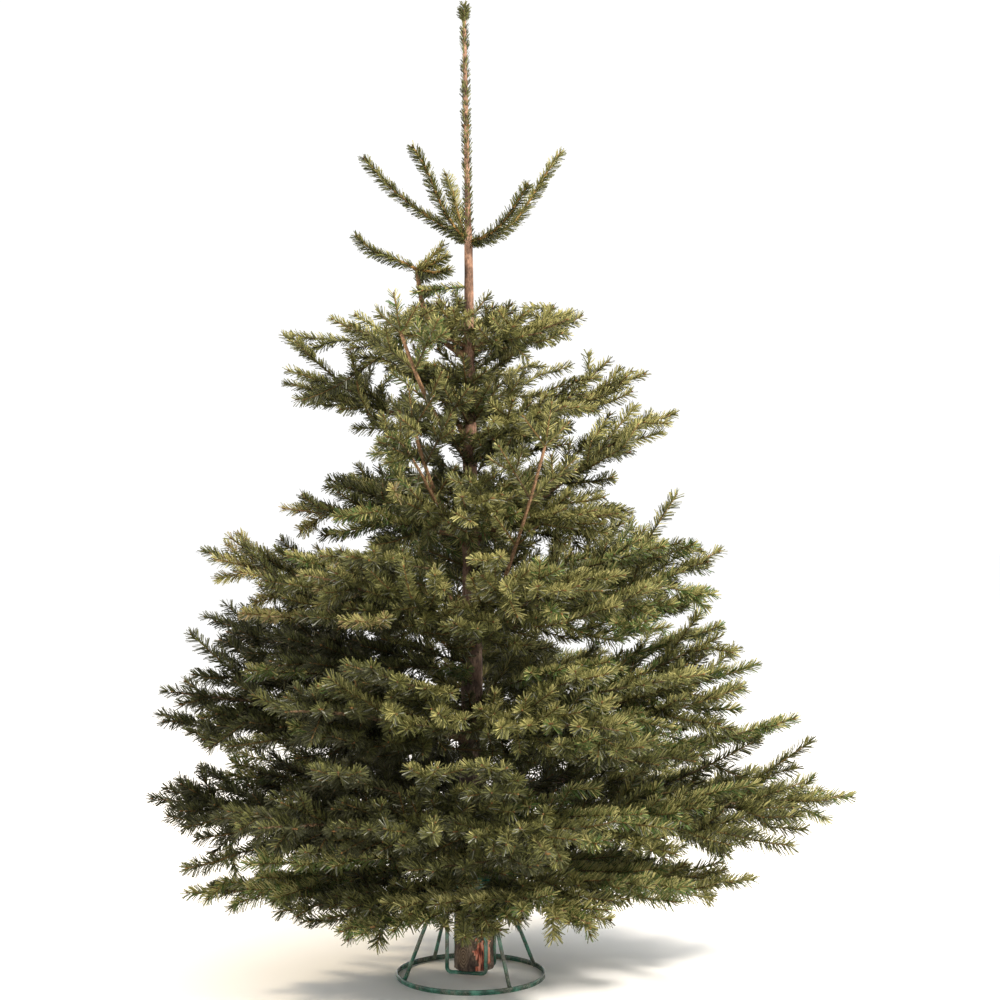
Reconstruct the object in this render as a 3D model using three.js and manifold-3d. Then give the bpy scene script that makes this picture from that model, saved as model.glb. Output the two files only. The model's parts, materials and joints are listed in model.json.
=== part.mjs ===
import * as THREE from "three";
import { mergeVertices } from "three/addons/utils/BufferGeometryUtils.js";
import Module from "manifold-3d";

// A two-metre cut fir in a welded steel stand, in millimetres: +X to the right, +Y to the back, +Z up.
// Everything is worked out round the stand's centre, and the last lines move it so that the origin
// lies on the floor under the middle of the tree's box.

// Gaps kept between pieces that touch: the plain one, and the one that a neighbour's skin is grown by.
const GAP = 0.35;
const SKIN = 0.5;
const FLAT_CORNER = 0.02; // keeps a corner whose faces lie in one plane solvable

// The stand: a flat ring on the floor, four rods up to a collar, and two U-shaped rods under the trunk.
const RING = { radius: 153, thickness: 3, height: 10.5, segments: 36 };
const COLLAR = { inner: 61, thickness: 3, low: 190, high: 215, segments: 20 };
const ROD = 4; // radius of every rod
const LEG_ANGLES = [25, 123, 204, 303];
const LEG_FOOT_HEIGHT = 4.2;
const LEG_BEND_HEIGHT = 188;
const CRADLE = { width: 82, offset: 35, turn: -14, corner: 9, barHeight: 15, top: 213 };
const SCREW = { angles: [74, 164, 254, 344], radius: 3.5, height: 202.5, head: 88, bar: 30, sides: 6 };

// The trunk, from its sawn foot to the bud at the top: height, drift to the right, diameter.
const TRUNK = [
  [19.35, 7, 82],
  [60, 7, 79],
  [150, 6, 74],
  [300, 5, 62],
  [520, 4, 47],
  [780, 1, 36],
  [1090, -2, 28],
  [1300, -3, 20],
  [1508, -5, 17],
  [1560, -6, 12.5],
  [1985, -14, 7],
];
const TRUNK_SIDES = 12;
const TOP = 2000; // the tip of the top bud's needles

// The five shoots round the leader's foot: azimuth, reach, height of the tip, pitch on leaving.
const TOP_WHORL = 1508;
const TOP_SHOOTS = [
  [178, 222, 1688, 34],
  [205, 128, 1702, 38],
  [124, 90, 1668, 46],
  [322, 160, 1615, 4],
  [10, 200, 1704, 6],
];
const SHOOT = { halfWidth: 17, arrive: 52 };

// The side leader to the left of it: a bare stem that leaves the trunk low and turns up to a node, and
// the shoots round that node, given as the trunk's are.
const SIDE_LEADER = { foot: 1270, azimuth: 182, reach: 108, node: 1452, leave: 24, arrive: 84, radius: 6.5 };
const SIDE_SHOOTS = [
  [182, 132, 1524, 30],
  [18, 62, 1510, 40],
  [330, 86, 1446, 10],
  [70, 60, 1440, 10],
];
// The leader's sleeve of needles, with how far they stand off, and the bud at its top.
const LEADER = { foot: 1426, head: 1994, needles: 6, bud: 15, budLength: 62 };

// The whorls of boughs below it. Half-depth is how far a spray reaches above and below its bough, and
// pairs is how many pairs of side sprays each bough has.
// A bough has its azimuth in degrees from the right towards the back, its reach from the trunk, the
// height of its tip, the pitch at which it leaves the trunk and the pitch at its tip, the roll of its
// spray, the spray's breadth, and the share of it that is bare wood, which is then a limb of its own.
const WHORLS = [
  {
    height: 1286,
    halfDepth: 42,
    pairs: 3,
    boughs: [
      [355, 226, 1350, 18, 12, 14, 1.25, 0],
      [122, 212, 1372, 34, 22, 0, 1.2, 0],
      [226, 182, 1342, 26, 20, 10, 1.1, 0],
      [304, 200, 1322, 16, 16, -10, 1.2, 0],
    ],
  },
  {
    height: 1090,
    halfDepth: 48,
    pairs: 3,
    boughs: [
      [194, 288, 1345, 60, 20, 14, 1.0, 0.46],
      [164, 412, 1226, 24, 12, -14, 0.9, 0.24],
      [4, 366, 1240, 20, 20, -8, 0.95, 0],
      [82, 340, 1262, 30, 18, 0, 1.2, 0],
      [309, 300, 1160, 8, 12, 6, 1.1, 0],
    ],
  },
  {
    height: 896,
    halfDepth: 54,
    pairs: 4,
    boughs: [
      [236, 290, 1146, 24, 44, 0, 1.0, 0.44],
      [188, 386, 962, 16, 8, 0, 0.74, 0],
      [349, 424, 1152, 22, 16, 14, 1.0, 0.32],
      [326, 352, 952, 14, 6, -8, 1.1, 0],
      [268, 318, 985, 24, 10, 0, 1.1, 0],
      [64, 386, 1030, 26, 10, 4, 0.95, 0],
      [134, 400, 1026, 24, 8, -6, 0.9, 0],
    ],
  },
  {
    height: 690,
    halfDepth: 70,
    pairs: 4,
    boughs: [
      [181, 556, 876, 16, 16, -10, 0.95, 0.16],
      [229, 470, 838, 20, 8, 6, 1.0, 0],
      [294, 440, 812, 18, 4, -6, 1.0, 0],
      [352, 512, 878, 18, 20, 16, 0.95, 0.18],
      [40, 520, 905, 28, 20, 0, 0.78, 0],
      [108, 500, 900, 28, 14, -8, 1.2, 0],
    ],
  },
  {
    height: 485,
    halfDepth: 74,
    pairs: 4,
    boughs: [
      [184, 634, 592, 14, 4, -24, 1.0, 0],
      [232, 550, 592, 16, 4, 6, 1.0, 0],
      [300, 540, 562, 14, 0, -6, 1.0, 0],
      [354, 584, 648, 14, 14, 26, 1.0, 0],
      [80, 590, 650, 22, 10, 4, 1.1, 0],
      [152, 690, 720, 26, 10, -4, 0.85, 0],
    ],
  },
  {
    height: 318,
    halfDepth: 66,
    pairs: 4,
    boughs: [
      [180, 668, 366, 8, 4, -12, 1.0, 0.14],
      [232, 620, 390, 8, 4, 8, 1.0, 0],
      [284, 580, 356, 14, -4, 0, 1.05, 0],
      [358, 782, 374, 6, 6, 6, 0.86, 0.12],
      [50, 650, 420, 12, 6, 8, 1.05, 0],
      [116, 630, 420, 12, 6, -8, 1.1, 0],
    ],
  },
  {
    height: 246,
    halfDepth: 46,
    pairs: 3,
    boughs: [
      [188, 588, 188, -6, 0, 6, 0.85, 0],
      [238, 455, 180, -8, -6, 0, 1.05, 0],
      [300, 440, 194, -6, -4, 0, 1.05, 0],
      [2, 585, 194, -8, 2, -6, 0.88, 0],
      [66, 530, 220, -6, 4, 0, 1.1, 0],
      [128, 530, 208, -8, 2, 0, 1.1, 0],
    ],
  },
];
// Strong shoots that stand out of a mass: the mass, the share of the way along its bough at which the
// shoot leaves, then azimuth, reach, height of the tip and pitch on leaving.
const STRONG_SHOOTS = [
  ["3_2", 0.55, 172, 170, 1318, 30],
  ["3_2", 0.45, 200, 96, 1296, 46],
  ["3_3", 0.5, 340, 62, 1268, 50],
  ["5_4", 0.62, 5, 112, 996, 50],
  ["6_4", 0.66, 0, 96, 752, 40],
  ["7_4", 0.66, 4, 200, 482, 20],
  ["7_4", 0.5, 358, 200, 486, 26],
  ["5_4", 0.6, 345, 200, 780, 6],
  ["6_4", 0.6, 354, 206, 548, 2],
  ["6_4", 0.5, 344, 250, 512, -6],
  ["6_1", 0.6, 178, 214, 704, 24],
  ["6_1", 0.6, 182, 230, 520, -4],
  ["7_4", 0.5, 352, 170, 268, -14],
  ["7_1", 0.5, 187, 200, 246, -12],
];
// How a bough swings between its two pitches, and where and how its side sprays leave it.
const SWING = 0.42;
const SIDE_SPRAYS = {
  3: [0.34, 0.58, 0.8],
  4: [0.3, 0.5, 0.68, 0.84],
};
const SIDE_ANGLE = 46;
const SIDE_LENGTH = 0.86; // of what is left of the bough's reach
const NOTCH = 0.4; // how far out the notch between two side sprays lies, as a share of the sprays
const BRUSH = 20; // half the width of one shoot with its needles
const LIMB = { foot: 0.026, tip: 0.4 }; // radius at the trunk as a share of the reach, and at its end

const COLOURS = {
  enamel: 0x1f5a48,
  bark: 0x7b6552,
  twigBark: 0x8a6443,
  foliage: [0x3d4d1f, 0x465724, 0x35441c, 0x4f5e2a],
};

const wasm = await Module();
wasm.setup();

const tree = new THREE.Group();
const X = new THREE.Vector3(1, 0, 0);
const Z = new THREE.Vector3(0, 0, 1);
const rad = THREE.MathUtils.degToRad;
const lerp = THREE.MathUtils.lerp;
const at = (angle, radius, z) =>
  new THREE.Vector3(radius * Math.cos(rad(angle)), radius * Math.sin(rad(angle)), z);

// The same numbers on every run, in place of Math.random.
let seed = 20261;
function random(low, high) {
  seed = (Math.imul(seed, 1664525) + 1013904223) >>> 0;
  return lerp(low, high, seed / 4294967296);
}

// A closed geometry with its corners merged, so that only the positions are left.
function bare(geometry) {
  geometry.deleteAttribute("normal");
  geometry.deleteAttribute("uv");
  return mergeVertices(geometry);
}

function toSolid(geometry) {
  const merged = bare(geometry);
  return new wasm.Manifold(
    new wasm.Mesh({
      numProp: 3,
      vertProperties: merged.attributes.position.array,
      triVerts: new Uint32Array(merged.index.array),
    }),
  );
}

// The largest body of a solid as a geometry: what a cut leaves loose is dropped.
function toGeometry(solid) {
  const bodies = solid.decompose();
  const body = bodies.reduce((a, b) => (b.volume() > a.volume() ? b : a));
  const mesh = body.getMesh();
  const geometry = new THREE.BufferGeometry();
  geometry.setAttribute("position", new THREE.BufferAttribute(mesh.vertProperties, 3));
  geometry.setIndex(new THREE.BufferAttribute(mesh.triVerts, 1));
  geometry.computeVertexNormals();
  return geometry;
}

function add(name, geometry, material) {
  const mesh = new THREE.Mesh(geometry, material);
  mesh.name = name;
  tree.add(mesh);
}

// A closed geometry and its skin, the same shape a little larger. A corner moves to where the planes of
// its faces meet once each is moved out by SKIN, or as near to that as flat and sharp corners allow.
function withSkin(geometry) {
  const larger = geometry.clone();
  const p = larger.attributes.position;
  const corners = Array.from({ length: p.count }, () => ({
    planes: new THREE.Matrix3().multiplyScalar(FLAT_CORNER),
    pull: new THREE.Vector3(),
  }));
  const face = new THREE.Triangle();
  const normal = new THREE.Vector3();
  for (let i = 0; i < larger.index.count; i += 3) {
    const ids = [0, 1, 2].map((j) => larger.index.getX(i + j));
    face.setFromAttributeAndIndices(p, ...ids).getNormal(normal);
    const { x, y, z } = normal;
    const outer = [x * x, x * y, x * z, x * y, y * y, y * z, x * z, y * z, z * z];
    for (const id of ids) {
      outer.forEach((value, k) => (corners[id].planes.elements[k] += value));
      corners[id].pull.add(normal);
    }
  }
  corners.forEach(({ planes, pull }, i) => {
    const move = pull.applyMatrix3(planes.invert()).multiplyScalar(SKIN).clampLength(0, 6 * SKIN);
    p.setXYZ(i, p.getX(i) + move.x, p.getY(i) + move.y, p.getZ(i) + move.z);
  });
  return { body: toSolid(geometry), skin: toSolid(larger) };
}

// Lays a closed geometry that stands along Y round a curve. `side` and `depth` give its half-sizes at
// a share of the way along, `normal` is the direction that depth is measured in.
function layAlong(geometry, share, curve, normal, side, depth, rough) {
  const g = bare(geometry);
  const p = g.attributes.position;
  for (let i = 0; i < p.count; i++) {
    const t = share(p.getY(i));
    const round = Math.hypot(p.getX(i), p.getZ(i));
    const along = curve.getTangent(t);
    const across = new THREE.Vector3().crossVectors(normal, along).normalize();
    const up = new THREE.Vector3().crossVectors(along, across);
    const place = curve.getPoint(t);
    if (round > 1e-6) {
      const k = rough ? rough[i] : 1;
      place.addScaledVector(across, (k * side(t) * p.getX(i)) / round);
      place.addScaledVector(up, (k * depth(t) * p.getZ(i)) / round);
    }
    p.setXYZ(i, place.x, place.y, place.z);
  }
  return g;
}

// A rod of any radius along a curve, with its rows at the given shares of the way and flat ends.
function rod(curve, normal, radius, rows, sides) {
  const g = bare(new THREE.CylinderGeometry(1, 1, rows.length - 1, sides, rows.length - 1));
  const middle = (rows.length - 1) / 2;
  const share = (y) => rows[Math.round(middle - y)];
  return layAlong(g, share, curve, normal, radius, radius);
}

// How far a height on a unit ball is from its upper pole to its lower one.
function poleShare(y) {
  return Math.acos(THREE.MathUtils.clamp(y, -1, 1)) / Math.PI;
}

// A shoot: a closed lobe round a curve, pointed at both ends, with `rings` uneven rings between them.
function lobe(curve, normal, size, sides, rings) {
  const ball = new THREE.SphereGeometry(1, sides, rings + 1);
  const rough = Array.from({ length: sides * rings + 2 }, () => random(0.86, 1.14));
  return withSkin(layAlong(ball, poleShare, curve, normal, size, size, rough));
}

function joined(lobes) {
  return {
    body: lobes.map((l) => l.body).reduce((a, b) => a.add(b)),
    skin: lobes.map((l) => l.skin).reduce((a, b) => a.add(b)),
  };
}

// --- the stand -----------------------------------------------------------------------------------

const enamel = new THREE.MeshStandardMaterial({
  color: COLOURS.enamel,
  roughness: 0.45,
  metalness: 0.3,
});

// A flat strip bent to a hoop, standing on its edge.
function hoop(inner, thickness, low, high, segments) {
  const outer = inner + thickness;
  const corners = [
    [inner, low],
    [outer, low],
    [outer, high],
    [inner, high],
    [inner, low],
  ];
  const profile = corners.map(([r, z]) => new THREE.Vector2(r, z));
  return new THREE.LatheGeometry(profile, segments).rotateX(Math.PI / 2);
}

add(
  "stand_ring",
  hoop(RING.radius - RING.thickness, RING.thickness, 0, RING.height, RING.segments),
  enamel,
);

function cylinderBetween(a, b, radius, sides) {
  const along = new THREE.Vector3().subVectors(b, a);
  const g = new THREE.CylinderGeometry(radius, radius, along.length(), sides);
  const turn = new THREE.Quaternion().setFromUnitVectors(
    new THREE.Vector3(0, 1, 0),
    along.clone().normalize(),
  );
  return g.applyQuaternion(turn).translate(...a.clone().lerp(b, 0.5).toArray());
}

// The collar carries four clamp screws, each with a bar to turn it by, that end on the trunk's flats.
let collar = toSolid(
  hoop(COLLAR.inner, COLLAR.thickness, COLLAR.low, COLLAR.high, COLLAR.segments),
);
for (const angle of SCREW.angles) {
  const { drift, radius } = trunkAt(SCREW.height);
  const flat = radius * Math.cos(Math.PI / TRUNK_SIDES);
  const tip = at(angle, flat + GAP, SCREW.height).addScaledVector(X, drift);
  const head = at(angle, SCREW.head, SCREW.height).addScaledVector(X, drift);
  const bar = Z.clone().multiplyScalar(SCREW.bar / 2);
  const grip = [head.clone().sub(bar), head.clone().add(bar)];
  collar = collar.add(toSolid(cylinderBetween(tip, head, SCREW.radius, SCREW.sides)));
  collar = collar.add(toSolid(cylinderBetween(...grip, SCREW.radius, SCREW.sides)));
}
add("stand_collar", toGeometry(collar), enamel);

// A path of straight runs with one rounded corner at each inner point.
function bentPath(points, corner) {
  const path = new THREE.CurvePath();
  let from = points[0];
  for (let i = 1; i < points.length - 1; i++) {
    const into = points[i].clone().sub(points[i - 1]).normalize();
    const out = points[i + 1].clone().sub(points[i]).normalize();
    const a = points[i].clone().addScaledVector(into, -corner);
    const b = points[i].clone().addScaledVector(out, corner);
    path.add(new THREE.LineCurve3(from, a));
    path.add(new THREE.QuadraticBezierCurve3(a, points[i], b));
    from = b;
  }
  path.add(new THREE.LineCurve3(from, points[points.length - 1]));
  return path;
}

// The shares of the way at which a bent path needs a row: its ends, and three in each corner.
function bentRows(path) {
  const lengths = path.getCurveLengths();
  const whole = lengths[lengths.length - 1];
  const rows = [0];
  for (let i = 1; i < lengths.length; i += 2) {
    const [a, b] = [lengths[i - 1] / whole, lengths[i] / whole];
    rows.push(a, lerp(a, b, 0.5), b);
  }
  return [...rows, 1];
}

function bentRod(points, corner, normal) {
  const path = bentPath(points, corner);
  const constant = () => ROD;
  return rod(path, normal, constant, bentRows(path), 8);
}

// A leg stands inside the ring, leans in and ends upright against the collar's outside.
const collarOutside = COLLAR.inner + COLLAR.thickness + GAP + ROD;
const lean = Math.atan(
  (RING.radius - RING.thickness - ROD - collarOutside) / (LEG_BEND_HEIGHT - LEG_FOOT_HEIGHT),
);
const ringInside = (RING.radius - RING.thickness) * Math.cos(Math.PI / RING.segments);
LEG_ANGLES.forEach((angle, i) => {
  const foot = at(angle, ringInside - GAP - ROD * Math.cos(lean), LEG_FOOT_HEIGHT);
  const points = [foot, at(angle, collarOutside, LEG_BEND_HEIGHT), at(angle, collarOutside, COLLAR.high)];
  add(`stand_leg_${i + 1}`, bentRod(points, 8, at(angle + 90, 1, 0)), enamel);
});

// The cradle: two U-shaped rods, side by side, whose arms stand inside the collar.
["front", "back"].forEach((name, i) => {
  const away = at(CRADLE.turn + 90, (i ? 1 : -1) * CRADLE.offset, 0);
  const end = (s, z) => at(CRADLE.turn, (s * CRADLE.width) / 2, z).add(away);
  const points = [
    end(-1, CRADLE.top),
    end(-1, CRADLE.barHeight),
    end(1, CRADLE.barHeight),
    end(1, CRADLE.top),
  ];
  add(`stand_cradle_${name}`, bentRod(points, CRADLE.corner, at(CRADLE.turn + 90, 1, 0)), enamel);
});

// --- the trunk -----------------------------------------------------------------------------------

// The trunk's drift to the right and its radius at a height.
function trunkAt(z) {
  const above = TRUNK.findIndex(([height]) => height >= z);
  const i = above < 0 ? TRUNK.length - 1 : Math.max(1, above);
  const [a, b] = [TRUNK[i - 1], TRUNK[i]];
  const share = THREE.MathUtils.clamp((z - a[0]) / (b[0] - a[0]), 0, 1);
  return { drift: lerp(a[1], b[1], share), radius: lerp(a[2], b[2], share) / 2 };
}

function trunkGeometry(grow) {
  const [foot, top] = [TRUNK[0][0], TRUNK[TRUNK.length - 1][0]];
  const rows = TRUNK.map(([z]) => (z - foot) / (top - foot));
  const height = (t) => lerp(foot, top, t);
  const line = {
    getPoint: (t) => new THREE.Vector3(trunkAt(height(t)).drift, 0, height(t)),
    getTangent: () => Z.clone(),
  };
  const radius = (t) => trunkAt(height(t)).radius + grow;
  return rod(line, X, radius, rows, TRUNK_SIDES);
}

add(
  "trunk",
  trunkGeometry(0),
  new THREE.MeshStandardMaterial({ color: COLOURS.bark, roughness: 0.9 }),
);

// --- the boughs and the foliage ------------------------------------------------------------------

// What the foliage is cut round: the trunk, the stand's room, the limbs, and the sprays made before.
const standRoom = [
  [0, 0],
  [172, 0],
  [104, 180],
  [104, 226],
  [0, 226],
];
const HANDS = ["left", "right"];
const cutters = [
  toSolid(trunkGeometry(GAP)),
  toSolid(
    new THREE.LatheGeometry(
      standRoom.map(([r, z]) => new THREE.Vector2(r, z)),
      24,
    ).rotateX(Math.PI / 2),
  ),
];

// A bough's line, in the upright plane of its azimuth, from its foot to its tip.
function boughLine(foot, azimuth, reach, tipHeight, leave, arrive) {
  const tip = at(azimuth, reach, tipHeight).add(foot).setZ(tipHeight);
  const swing = foot.distanceTo(tip) * SWING;
  const towards = (pitch) => at(azimuth, Math.cos(rad(pitch)), Math.sin(rad(pitch)));
  return new THREE.CubicBezierCurve3(
    foot,
    foot.clone().addScaledVector(towards(leave), swing),
    tip.clone().addScaledVector(towards(arrive), -swing),
    tip,
  );
}

// The stretch of a curve between two shares of the way.
function stretch(curve, from, to) {
  return {
    getPoint: (t) => curve.getPoint(lerp(from, to, t)),
    getTangent: (t) => curve.getTangent(lerp(from, to, t)),
  };
}

// The foliage on one bough is one closed fan. It starts as a six-sided tube round the bough's line, and
// its rings are drawn out sideways and forwards in turn, to the tips of each pair of side sprays and to
// the notch behind them. `tips` and `depth` are the half-breadth to each hand and the half-depth there.
function boughFoliage(line, azimuth, reach, roll, breadth, { halfDepth, pairs }, start) {
  const sideLength = (place) => reach * (1 - place) * SIDE_LENGTH * breadth + BRUSH;
  const places = SIDE_SPRAYS[pairs].filter((place) => place > start + 0.04);
  const outwards = Math.sin(rad(SIDE_ANGLE));
  const root = start > 0.1 ? 1.2 * BRUSH : BRUSH;
  const rings = [{ place: start, tips: [root, root], depth: 0.7 * halfDepth, tilt: [0, 0] }];
  places.forEach((place, i) => {
    const next = places[i + 1] ?? 0.97;
    const tips = HANDS.map(() => sideLength(place) * random(0.84, 1.06) * outwards);
    const tilt = HANDS.map(() => random(-0.14, 0.14));
    const inner = Math.max(0.9 * BRUSH, NOTCH * sideLength((place + next) / 2) * outwards);
    const notch = lerp(place, next, 0.55);
    rings.push({ place, tips, depth: halfDepth * (1.05 - 0.35 * place), tilt });
    rings.push({ place: notch, tips: [inner, inner], depth: halfDepth * (0.9 - 0.35 * place), tilt });
  });

  const sideways = at(azimuth + 90, 1, 0);
  const forwards = 1 / Math.tan(rad(SIDE_ANGLE));
  const rough = Array.from({ length: 6 * rings.length + 2 }, () => random(0.94, 1.06));
  const g = bare(new THREE.SphereGeometry(1, 6, rings.length + 1));
  const p = g.attributes.position;
  for (let i = 0; i < p.count; i++) {
    const [x, y, z] = [p.getX(i), p.getY(i), p.getZ(i)];
    const row = Math.round(poleShare(y) * (rings.length + 1));
    const ring = rings[row - 1];
    const t = row === 0 ? Math.max(0, start - 0.04) : (ring?.place ?? 1);
    const along = line.getTangent(t);
    const up = new THREE.Vector3().crossVectors(along, sideways).normalize();
    up.applyAxisAngle(along, rad(roll));
    const across = new THREE.Vector3().crossVectors(up, along);
    const place = line.getPoint(t);
    if (ring) {
      const round = Math.hypot(x, z);
      const hand = x > 0 ? 0 : 1;
      const out = ring.tips[hand] * rough[i] * Math.abs(x / round);
      const height = (ring.depth * rough[i] * z) / round / Math.sin(Math.PI / 3);
      place.addScaledVector(along, out * forwards);
      place.addScaledVector(across, Math.sign(x) * out);
      place.addScaledVector(up, height + out * ring.tilt[hand]);
    }
    p.setXYZ(i, place.x, place.y, place.z);
  }
  return withSkin(g);
}

function cut(body) {
  return cutters.reduce((left, cutter) => left.subtract(cutter), body);
}

function foliageMaterial(i) {
  const colour = COLOURS.foliage[i % COLOURS.foliage.length];
  return new THREE.MeshStandardMaterial({ color: colour, roughness: 0.85 });
}

const twigBark = new THREE.MeshStandardMaterial({ color: COLOURS.twigBark, roughness: 0.85 });

const trunkMiddle = (z) => new THREE.Vector3(trunkAt(z).drift, 0, z);

// A limb: the bare share of a bough's line, tapering from its foot, cut round the trunk.
function addLimb(name, line, azimuth, share, foot) {
  const limb = (grow) => {
    const radius = (t) => lerp(foot, foot * LIMB.tip, t * share) + grow;
    return toSolid(rod(stretch(line, 0, share), at(azimuth + 90, 1, 0), radius, [0, 0.35, 0.7, 1], 6));
  };
  add(name, toGeometry(cut(limb(0))), twigBark);
  cutters.push(limb(SKIN));
}

// A mass of foliage, cut round all that was made before it.
function addFoliage(name, made, i) {
  add(name, toGeometry(cut(made.body)), foliageMaterial(i));
  cutters.push(made.skin);
}

// Single shoots that spread from one place, a lobe each.
function shootsFrom(foot, height, shoots) {
  return shoots.map(([azimuth, reach, tipHeight, leave]) => {
    const start = new THREE.Vector3(foot.x, foot.y, height);
    const line = boughLine(start, azimuth, reach, tipHeight, leave, SHOOT.arrive);
    const normal = new THREE.Vector3().crossVectors(line.getTangent(0.5), at(azimuth + 90, 1, 0));
    return lobe(line, normal, () => SHOOT.halfWidth, 4, 3);
  });
}

// The limbs come first, so that every mass can be cut round every one of them.
const side = SIDE_LEADER;
const sideFoot = trunkMiddle(side.foot);
const sideStem = boughLine(sideFoot, side.azimuth, side.reach, side.node, side.leave, side.arrive);
const sideNode = sideStem.v3;
addLimb("bough_side_leader", sideStem, side.azimuth, 1, side.radius);
const foliage = [];
WHORLS.forEach((whorl, w) => {
  whorl.boughs.forEach(([azimuth, reach, tipHeight, leave, arrive, roll, breadth, bareShare], b) => {
    const number = `${w + 2}_${b + 1}`;
    const line = boughLine(trunkMiddle(whorl.height), azimuth, reach, tipHeight, leave, arrive);
    foliage.push({ number, whorl, line, azimuth, reach, roll, breadth, bareShare });
    if (bareShare) addLimb(`bough_${number}`, line, azimuth, bareShare + 0.03, reach * LIMB.foot);
  });
});

// An upright lobe between two heights, round a line that stands beside the trunk's.
function uprightLobe(foot, head, from, to, width, sides, rings) {
  const low = new THREE.Vector3(foot.x, foot.y, from);
  const high = new THREE.Vector3(head.x, head.y, to);
  return lobe(new THREE.LineCurve3(low, high), X, width, sides, rings);
}

// The leader's sleeve of needles, its top bud, and the whorl of shoots at its foot are one mass.
const leaderHead = trunkMiddle(TOP);
const sleeveWidth = (t) => trunkAt(lerp(LEADER.foot, LEADER.head, t)).radius + LEADER.needles;
addFoliage(
  "foliage_top",
  joined([
    uprightLobe(trunkMiddle(LEADER.foot), leaderHead, LEADER.foot, LEADER.head, sleeveWidth, 6, 6),
    uprightLobe(leaderHead, leaderHead, TOP - LEADER.budLength, TOP, () => LEADER.bud, 6, 3),
    ...shootsFrom(trunkMiddle(TOP_WHORL), TOP_WHORL, TOP_SHOOTS),
  ]),
  3,
);
const sideBud = uprightLobe(sideNode, sideNode, sideNode.z - 24, sideNode.z + 34, () => LEADER.bud, 6, 3);
addFoliage("foliage_side_leader", joined([sideBud, ...shootsFrom(sideNode, sideNode.z, SIDE_SHOOTS)]), 2);

foliage.forEach(({ number, whorl, line, azimuth, reach, roll, breadth, bareShare }, i) => {
  const start = bareShare || 0.02;
  const made = [boughFoliage(line, azimuth, reach, roll, breadth, whorl, start)];
  for (const [mass, share, ...shoot] of STRONG_SHOOTS) {
    const foot = line.getPoint(share);
    if (mass === number) made.push(...shootsFrom(foot, foot.z, [shoot]));
  }
  addFoliage(`foliage_${number}`, joined(made), i);
});

// The origin lies on the floor under the middle of the box.
const box = new THREE.Box3().setFromObject(tree);
const middle = box.getCenter(new THREE.Vector3());
for (const mesh of tree.children) mesh.position.set(-middle.x, -middle.y, 0);

export default tree;
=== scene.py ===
"""A two-metre cut fir in a welded steel stand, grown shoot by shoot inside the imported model's masses.

Every length is in metres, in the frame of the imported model: +X right, +Y back, +Z up.
"""

import json
import math
import random
from itertools import pairwise

import bmesh
import bpy
import numpy as np
from mathutils import Matrix, Vector, noise
from mathutils.bvhtree import BVHTree

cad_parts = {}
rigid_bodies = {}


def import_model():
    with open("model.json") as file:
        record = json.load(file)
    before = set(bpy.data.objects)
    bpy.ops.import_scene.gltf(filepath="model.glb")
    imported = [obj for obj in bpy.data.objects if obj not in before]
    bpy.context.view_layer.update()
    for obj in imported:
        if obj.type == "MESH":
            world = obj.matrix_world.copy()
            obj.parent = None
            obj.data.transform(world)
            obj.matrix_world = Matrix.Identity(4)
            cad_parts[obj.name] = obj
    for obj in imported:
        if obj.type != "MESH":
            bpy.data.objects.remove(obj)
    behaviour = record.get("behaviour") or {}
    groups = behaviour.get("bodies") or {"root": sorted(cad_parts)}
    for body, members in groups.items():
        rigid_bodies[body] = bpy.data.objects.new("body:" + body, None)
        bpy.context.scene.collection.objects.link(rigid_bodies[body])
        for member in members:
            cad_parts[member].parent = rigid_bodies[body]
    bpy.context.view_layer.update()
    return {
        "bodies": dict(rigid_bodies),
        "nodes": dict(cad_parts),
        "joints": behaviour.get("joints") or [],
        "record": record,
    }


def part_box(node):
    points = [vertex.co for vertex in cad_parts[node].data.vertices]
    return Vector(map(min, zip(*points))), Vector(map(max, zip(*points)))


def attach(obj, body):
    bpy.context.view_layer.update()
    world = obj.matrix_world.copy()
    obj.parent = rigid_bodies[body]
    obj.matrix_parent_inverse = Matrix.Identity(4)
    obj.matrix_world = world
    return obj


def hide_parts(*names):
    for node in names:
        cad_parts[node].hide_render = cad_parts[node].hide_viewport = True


UP = Vector((0, 0, 1))

# --- sizes of the living parts ---

# How a bough of each whorl grows, from the youngest whorl down: height of its foot on the trunk, the
# length of one year's shoot, and the length of its needles.
WHORLS = {
    2: {"height": 1.286, "year": 0.080, "needle": 0.0190},
    3: {"height": 1.090, "year": 0.090, "needle": 0.0198},
    4: {"height": 0.896, "year": 0.098, "needle": 0.0215},
    5: {"height": 0.690, "year": 0.108, "needle": 0.0230},
    6: {"height": 0.485, "year": 0.108, "needle": 0.0240},
    7: {"height": 0.318, "year": 0.106, "needle": 0.0245},
    8: {"height": 0.246, "year": 0.098, "needle": 0.0245},
}
FORK_RATIO = [0.88, 0.78, 0.7]  # a side shoot's reach as a share of what its parent has left
YEAR_RATIO = [1.0, 0.98, 0.92, 0.86]  # a year's growth by order of shoot: bough, side shoot, and so on
SHORTEST = 0.052
DEEPEST = 3  # side shoots of side shoots of side shoots, and no further
PROUD = 0.002  # how far a shoot's twig may stand out of its mass
NEEDLE = {"width": 0.0024, "count": 475000}
TIP_RADIUS = 0.0011
THICKEN = 0.0055  # how much a shoot's radius grows for each metre of growth beyond it
GOLDEN_ANGLE = 137.5  # the turn from one shoot, or one needle, to the next
BOUGH_POINTS = 22  # points along the wood of a bough

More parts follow.
